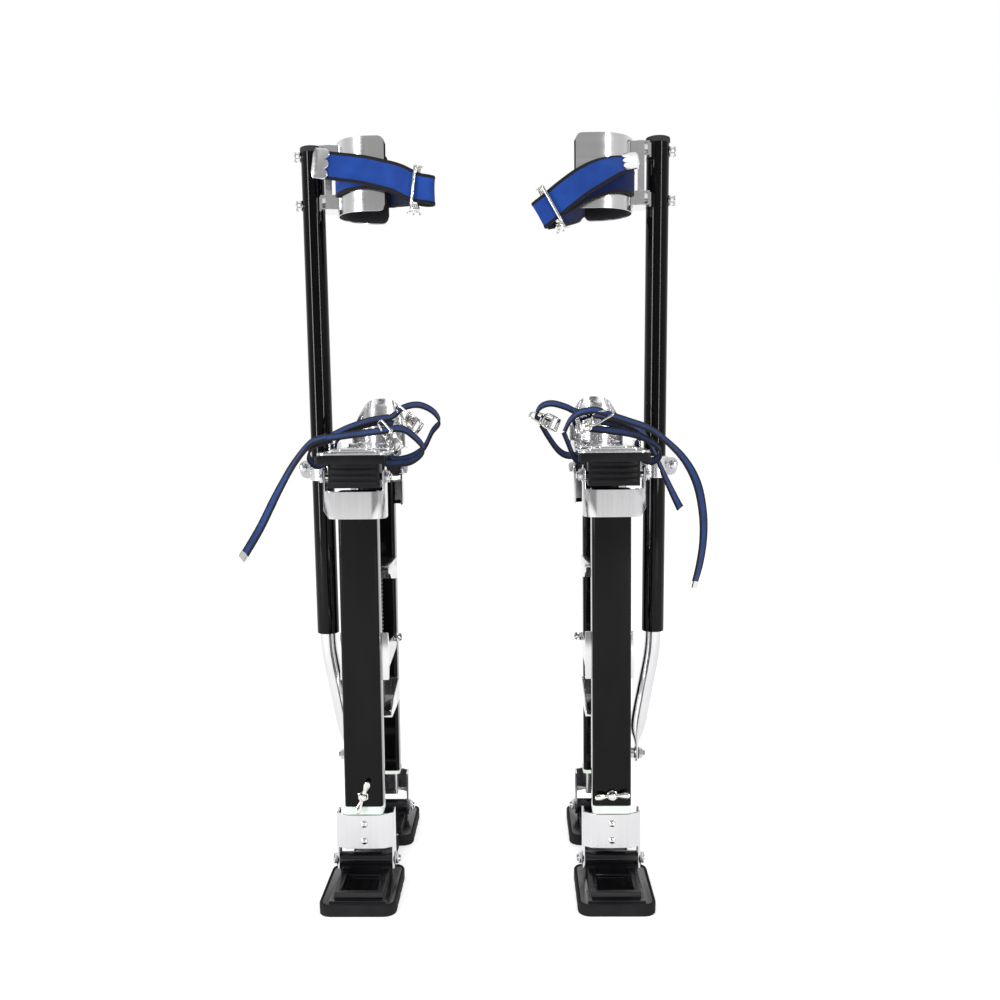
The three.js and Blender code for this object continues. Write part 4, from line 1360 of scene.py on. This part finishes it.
def platform(stilt):
    stilt.refined("foot_plate", "deck", "platform", "aluminium", 0.5)
    stilt.refined("hinge_frame", "casting", "platform", "casting", 0.8)
    deck_top = 609.5
    toe = rounded_slab(34, (-118, -91), deck_top, deck_top + 2.6, 6)
    step = rounded_slab(20, (-113, -97), deck_top + 2.6, deck_top + 5.4, 4)
    stilt.solid("toe_plate", joined(toe, step), "deck", "platform", "aluminium")
    rivets = [
        lathe([(4.4, 0), (4.2, 1.0), (2.8, 2.0), (0.3, 2.5)], (u, y, deck_top + 2.6), "z")
        for u in (-27, 27)
        for y in (-112, -97)
    ]
    stilt.solid("toe_rivets", joined(*rivets), "steel", "platform", "steel")


LEAN = (0.08, 0.91, 0.4)
FOOT_ROUTES = {
    "left": {
        "toe_strap": {
            "main": [
                (-34, 601), (-42, 594), (-58, 594), (-74, 596), (-88, 606), (-90, 616), (-78, 630), (-61, 640),
                (-31, 637), (17, 631), (45, 627), (62, 619), (85, 592), (109, 552), (132, 508), (158, 466),
            ],
            "base": [(34, 601), (42, 594), (54, 592), (63, 601), (62, 612), (54, 620), (38, 624)],
            "tail": [(40, 630), (62, 622), (84, 596), (102, 566), (118, 536)],
            "y": -88,
        },
        "ankle_strap": {
            "main": [
                (-36, 600), (-44, 595), (-60, 597), (-74, 603), (-86, 613), (-97, 634), (-107, 648), (-98, 663),
                (-78, 672), (-56, 668), (-40, 656), (-10, 651), (22, 641), (46, 630),
            ],
            "base": [(41, 600), (41, 612), (38, 624), (26, 634), (6, 642), (-20, 648), (-42, 646)],
            "y": -12,
        },
    },
    "right": {
        "toe_strap": {
            "main": [
                (-63, 634), (-55, 649), (-42, 659), (-22, 662), (-4, 656), (23, 647), (50, 637), (72, 621), (97, 595),
                (114, 563), (122, 525), (123, 488), (118, 452), (110, 422),
            ],
            "base": [
                (34, 601), (44, 595), (54, 593), (64, 600), (63, 611), (48, 622), (26, 630), (-6, 635), (-30, 638),
            ],
            "inner": [(-34, 600), (-42, 593), (-51, 601), (-58, 618), (-64, 633)],
            "y": -88,
        },
        "ankle_strap": {
            "main": [
                (-90, 644), (-99, 654), (-93, 667), (-78, 672), (-58, 667), (-40, 659), (-10, 654), (22, 646),
                (50, 630), (66, 604), (80, 572), (94, 542), (104, 522),
            ],
            "base": [(-36, 600), (-48, 598), (-60, 600), (-71, 609), (-84, 628), (-92, 642)],
            "inner": [(41, 600), (42, 612), (46, 622), (38, 632), (16, 640), (-8, 646)],
            "y": -12,
        },
    },
}
BUCKLES = {
    "left": [
        ((-53, -98, 622), (0.62, 0.1, 0.78), (0.5, 0.55, -0.42), 34),
        ((-72, -24, 646), (0.72, 0.1, 0.62), (0.4, 0.6, -0.5), 34),
    ],
    "right": [
        ((-38, -92, 644), (0.93, -0.1, 0.34), (-0.2, 0.5, 0.8), 42),
        ((-80, -22, 646), (-0.85, 0, 0.4), (0.2, 0.6, 0.7), 30),
    ],
}


def foot_straps(stilt):
    """The foot straps. Their free tails turn their faces to the front as they fall."""
    for node, routes in FOOT_ROUTES[stilt.name].items():
        y = routes["y"]
        for part, run in routes.items():
            if part == "y":
                continue
            course = []
            shift = {"main": 0, "base": 1.5, "inner": 2.5, "tail": 3.0}[part]
            for u, z in run:
                fall = min(max((u - 66) / 50, 0), 1)
                side = tuple(a * (1 - fall) + b * fall for a, b in zip(LEAN, (0.6, 0.75, 0.25)))
                course.append((u, y + shift, z, *side))
            webbing(
                stilt,
                node + "_" + part,
                course,
                20,
                1.7,
                "foot_web",
                "platform",
                (node,),
                4.6,
                6,
                0.8,
            )
    parts = [
        oriented(
            foot_buckle(arm), at, along, across
        ) for at, along, across, arm in BUCKLES[stilt.name]
    ]
    stilt.solid("foot_buckles", joined(*parts), "nickel", "platform", "steel", shade=50)
    end = FOOT_ROUTES[stilt.name]["toe_strap"]["main"]
    (u0, z0), (u1, z1) = end[-2:]
    tip = block((-9, -10.6, -1.5), (1.5, 10.6, 1.5), 0.8)
    along = Vector((u1 - u0, 0, z1 - z0)).normalized()
    y = FOOT_ROUTES[stilt.name]["toe_strap"]["y"]
    placed = oriented(tip, (u1, y, z1), along, (0.6, 0.75, 0.25))
    stilt.solid("toe_strap_tip", placed, "nickel", "platform", "steel")


# ---------------------------------------------------------------- the pair
add_camera()
add_floor()
add_light()
for name, side in (("left", -1), ("right", 1)):
    one = Stilt(name, side)
    bore = Pole(one)
    uprights(one)
    pivot_washers(one)
    standing_plate(one)
    leg_pole(one, bore)
    strut(one, bore)
    yoke(one, bore)
    calf_cuff(one)
    cuff_mount(one, bore)
    calf_strap(one)
    heel_cup(one)
    platform(one)
    foot_straps(one)
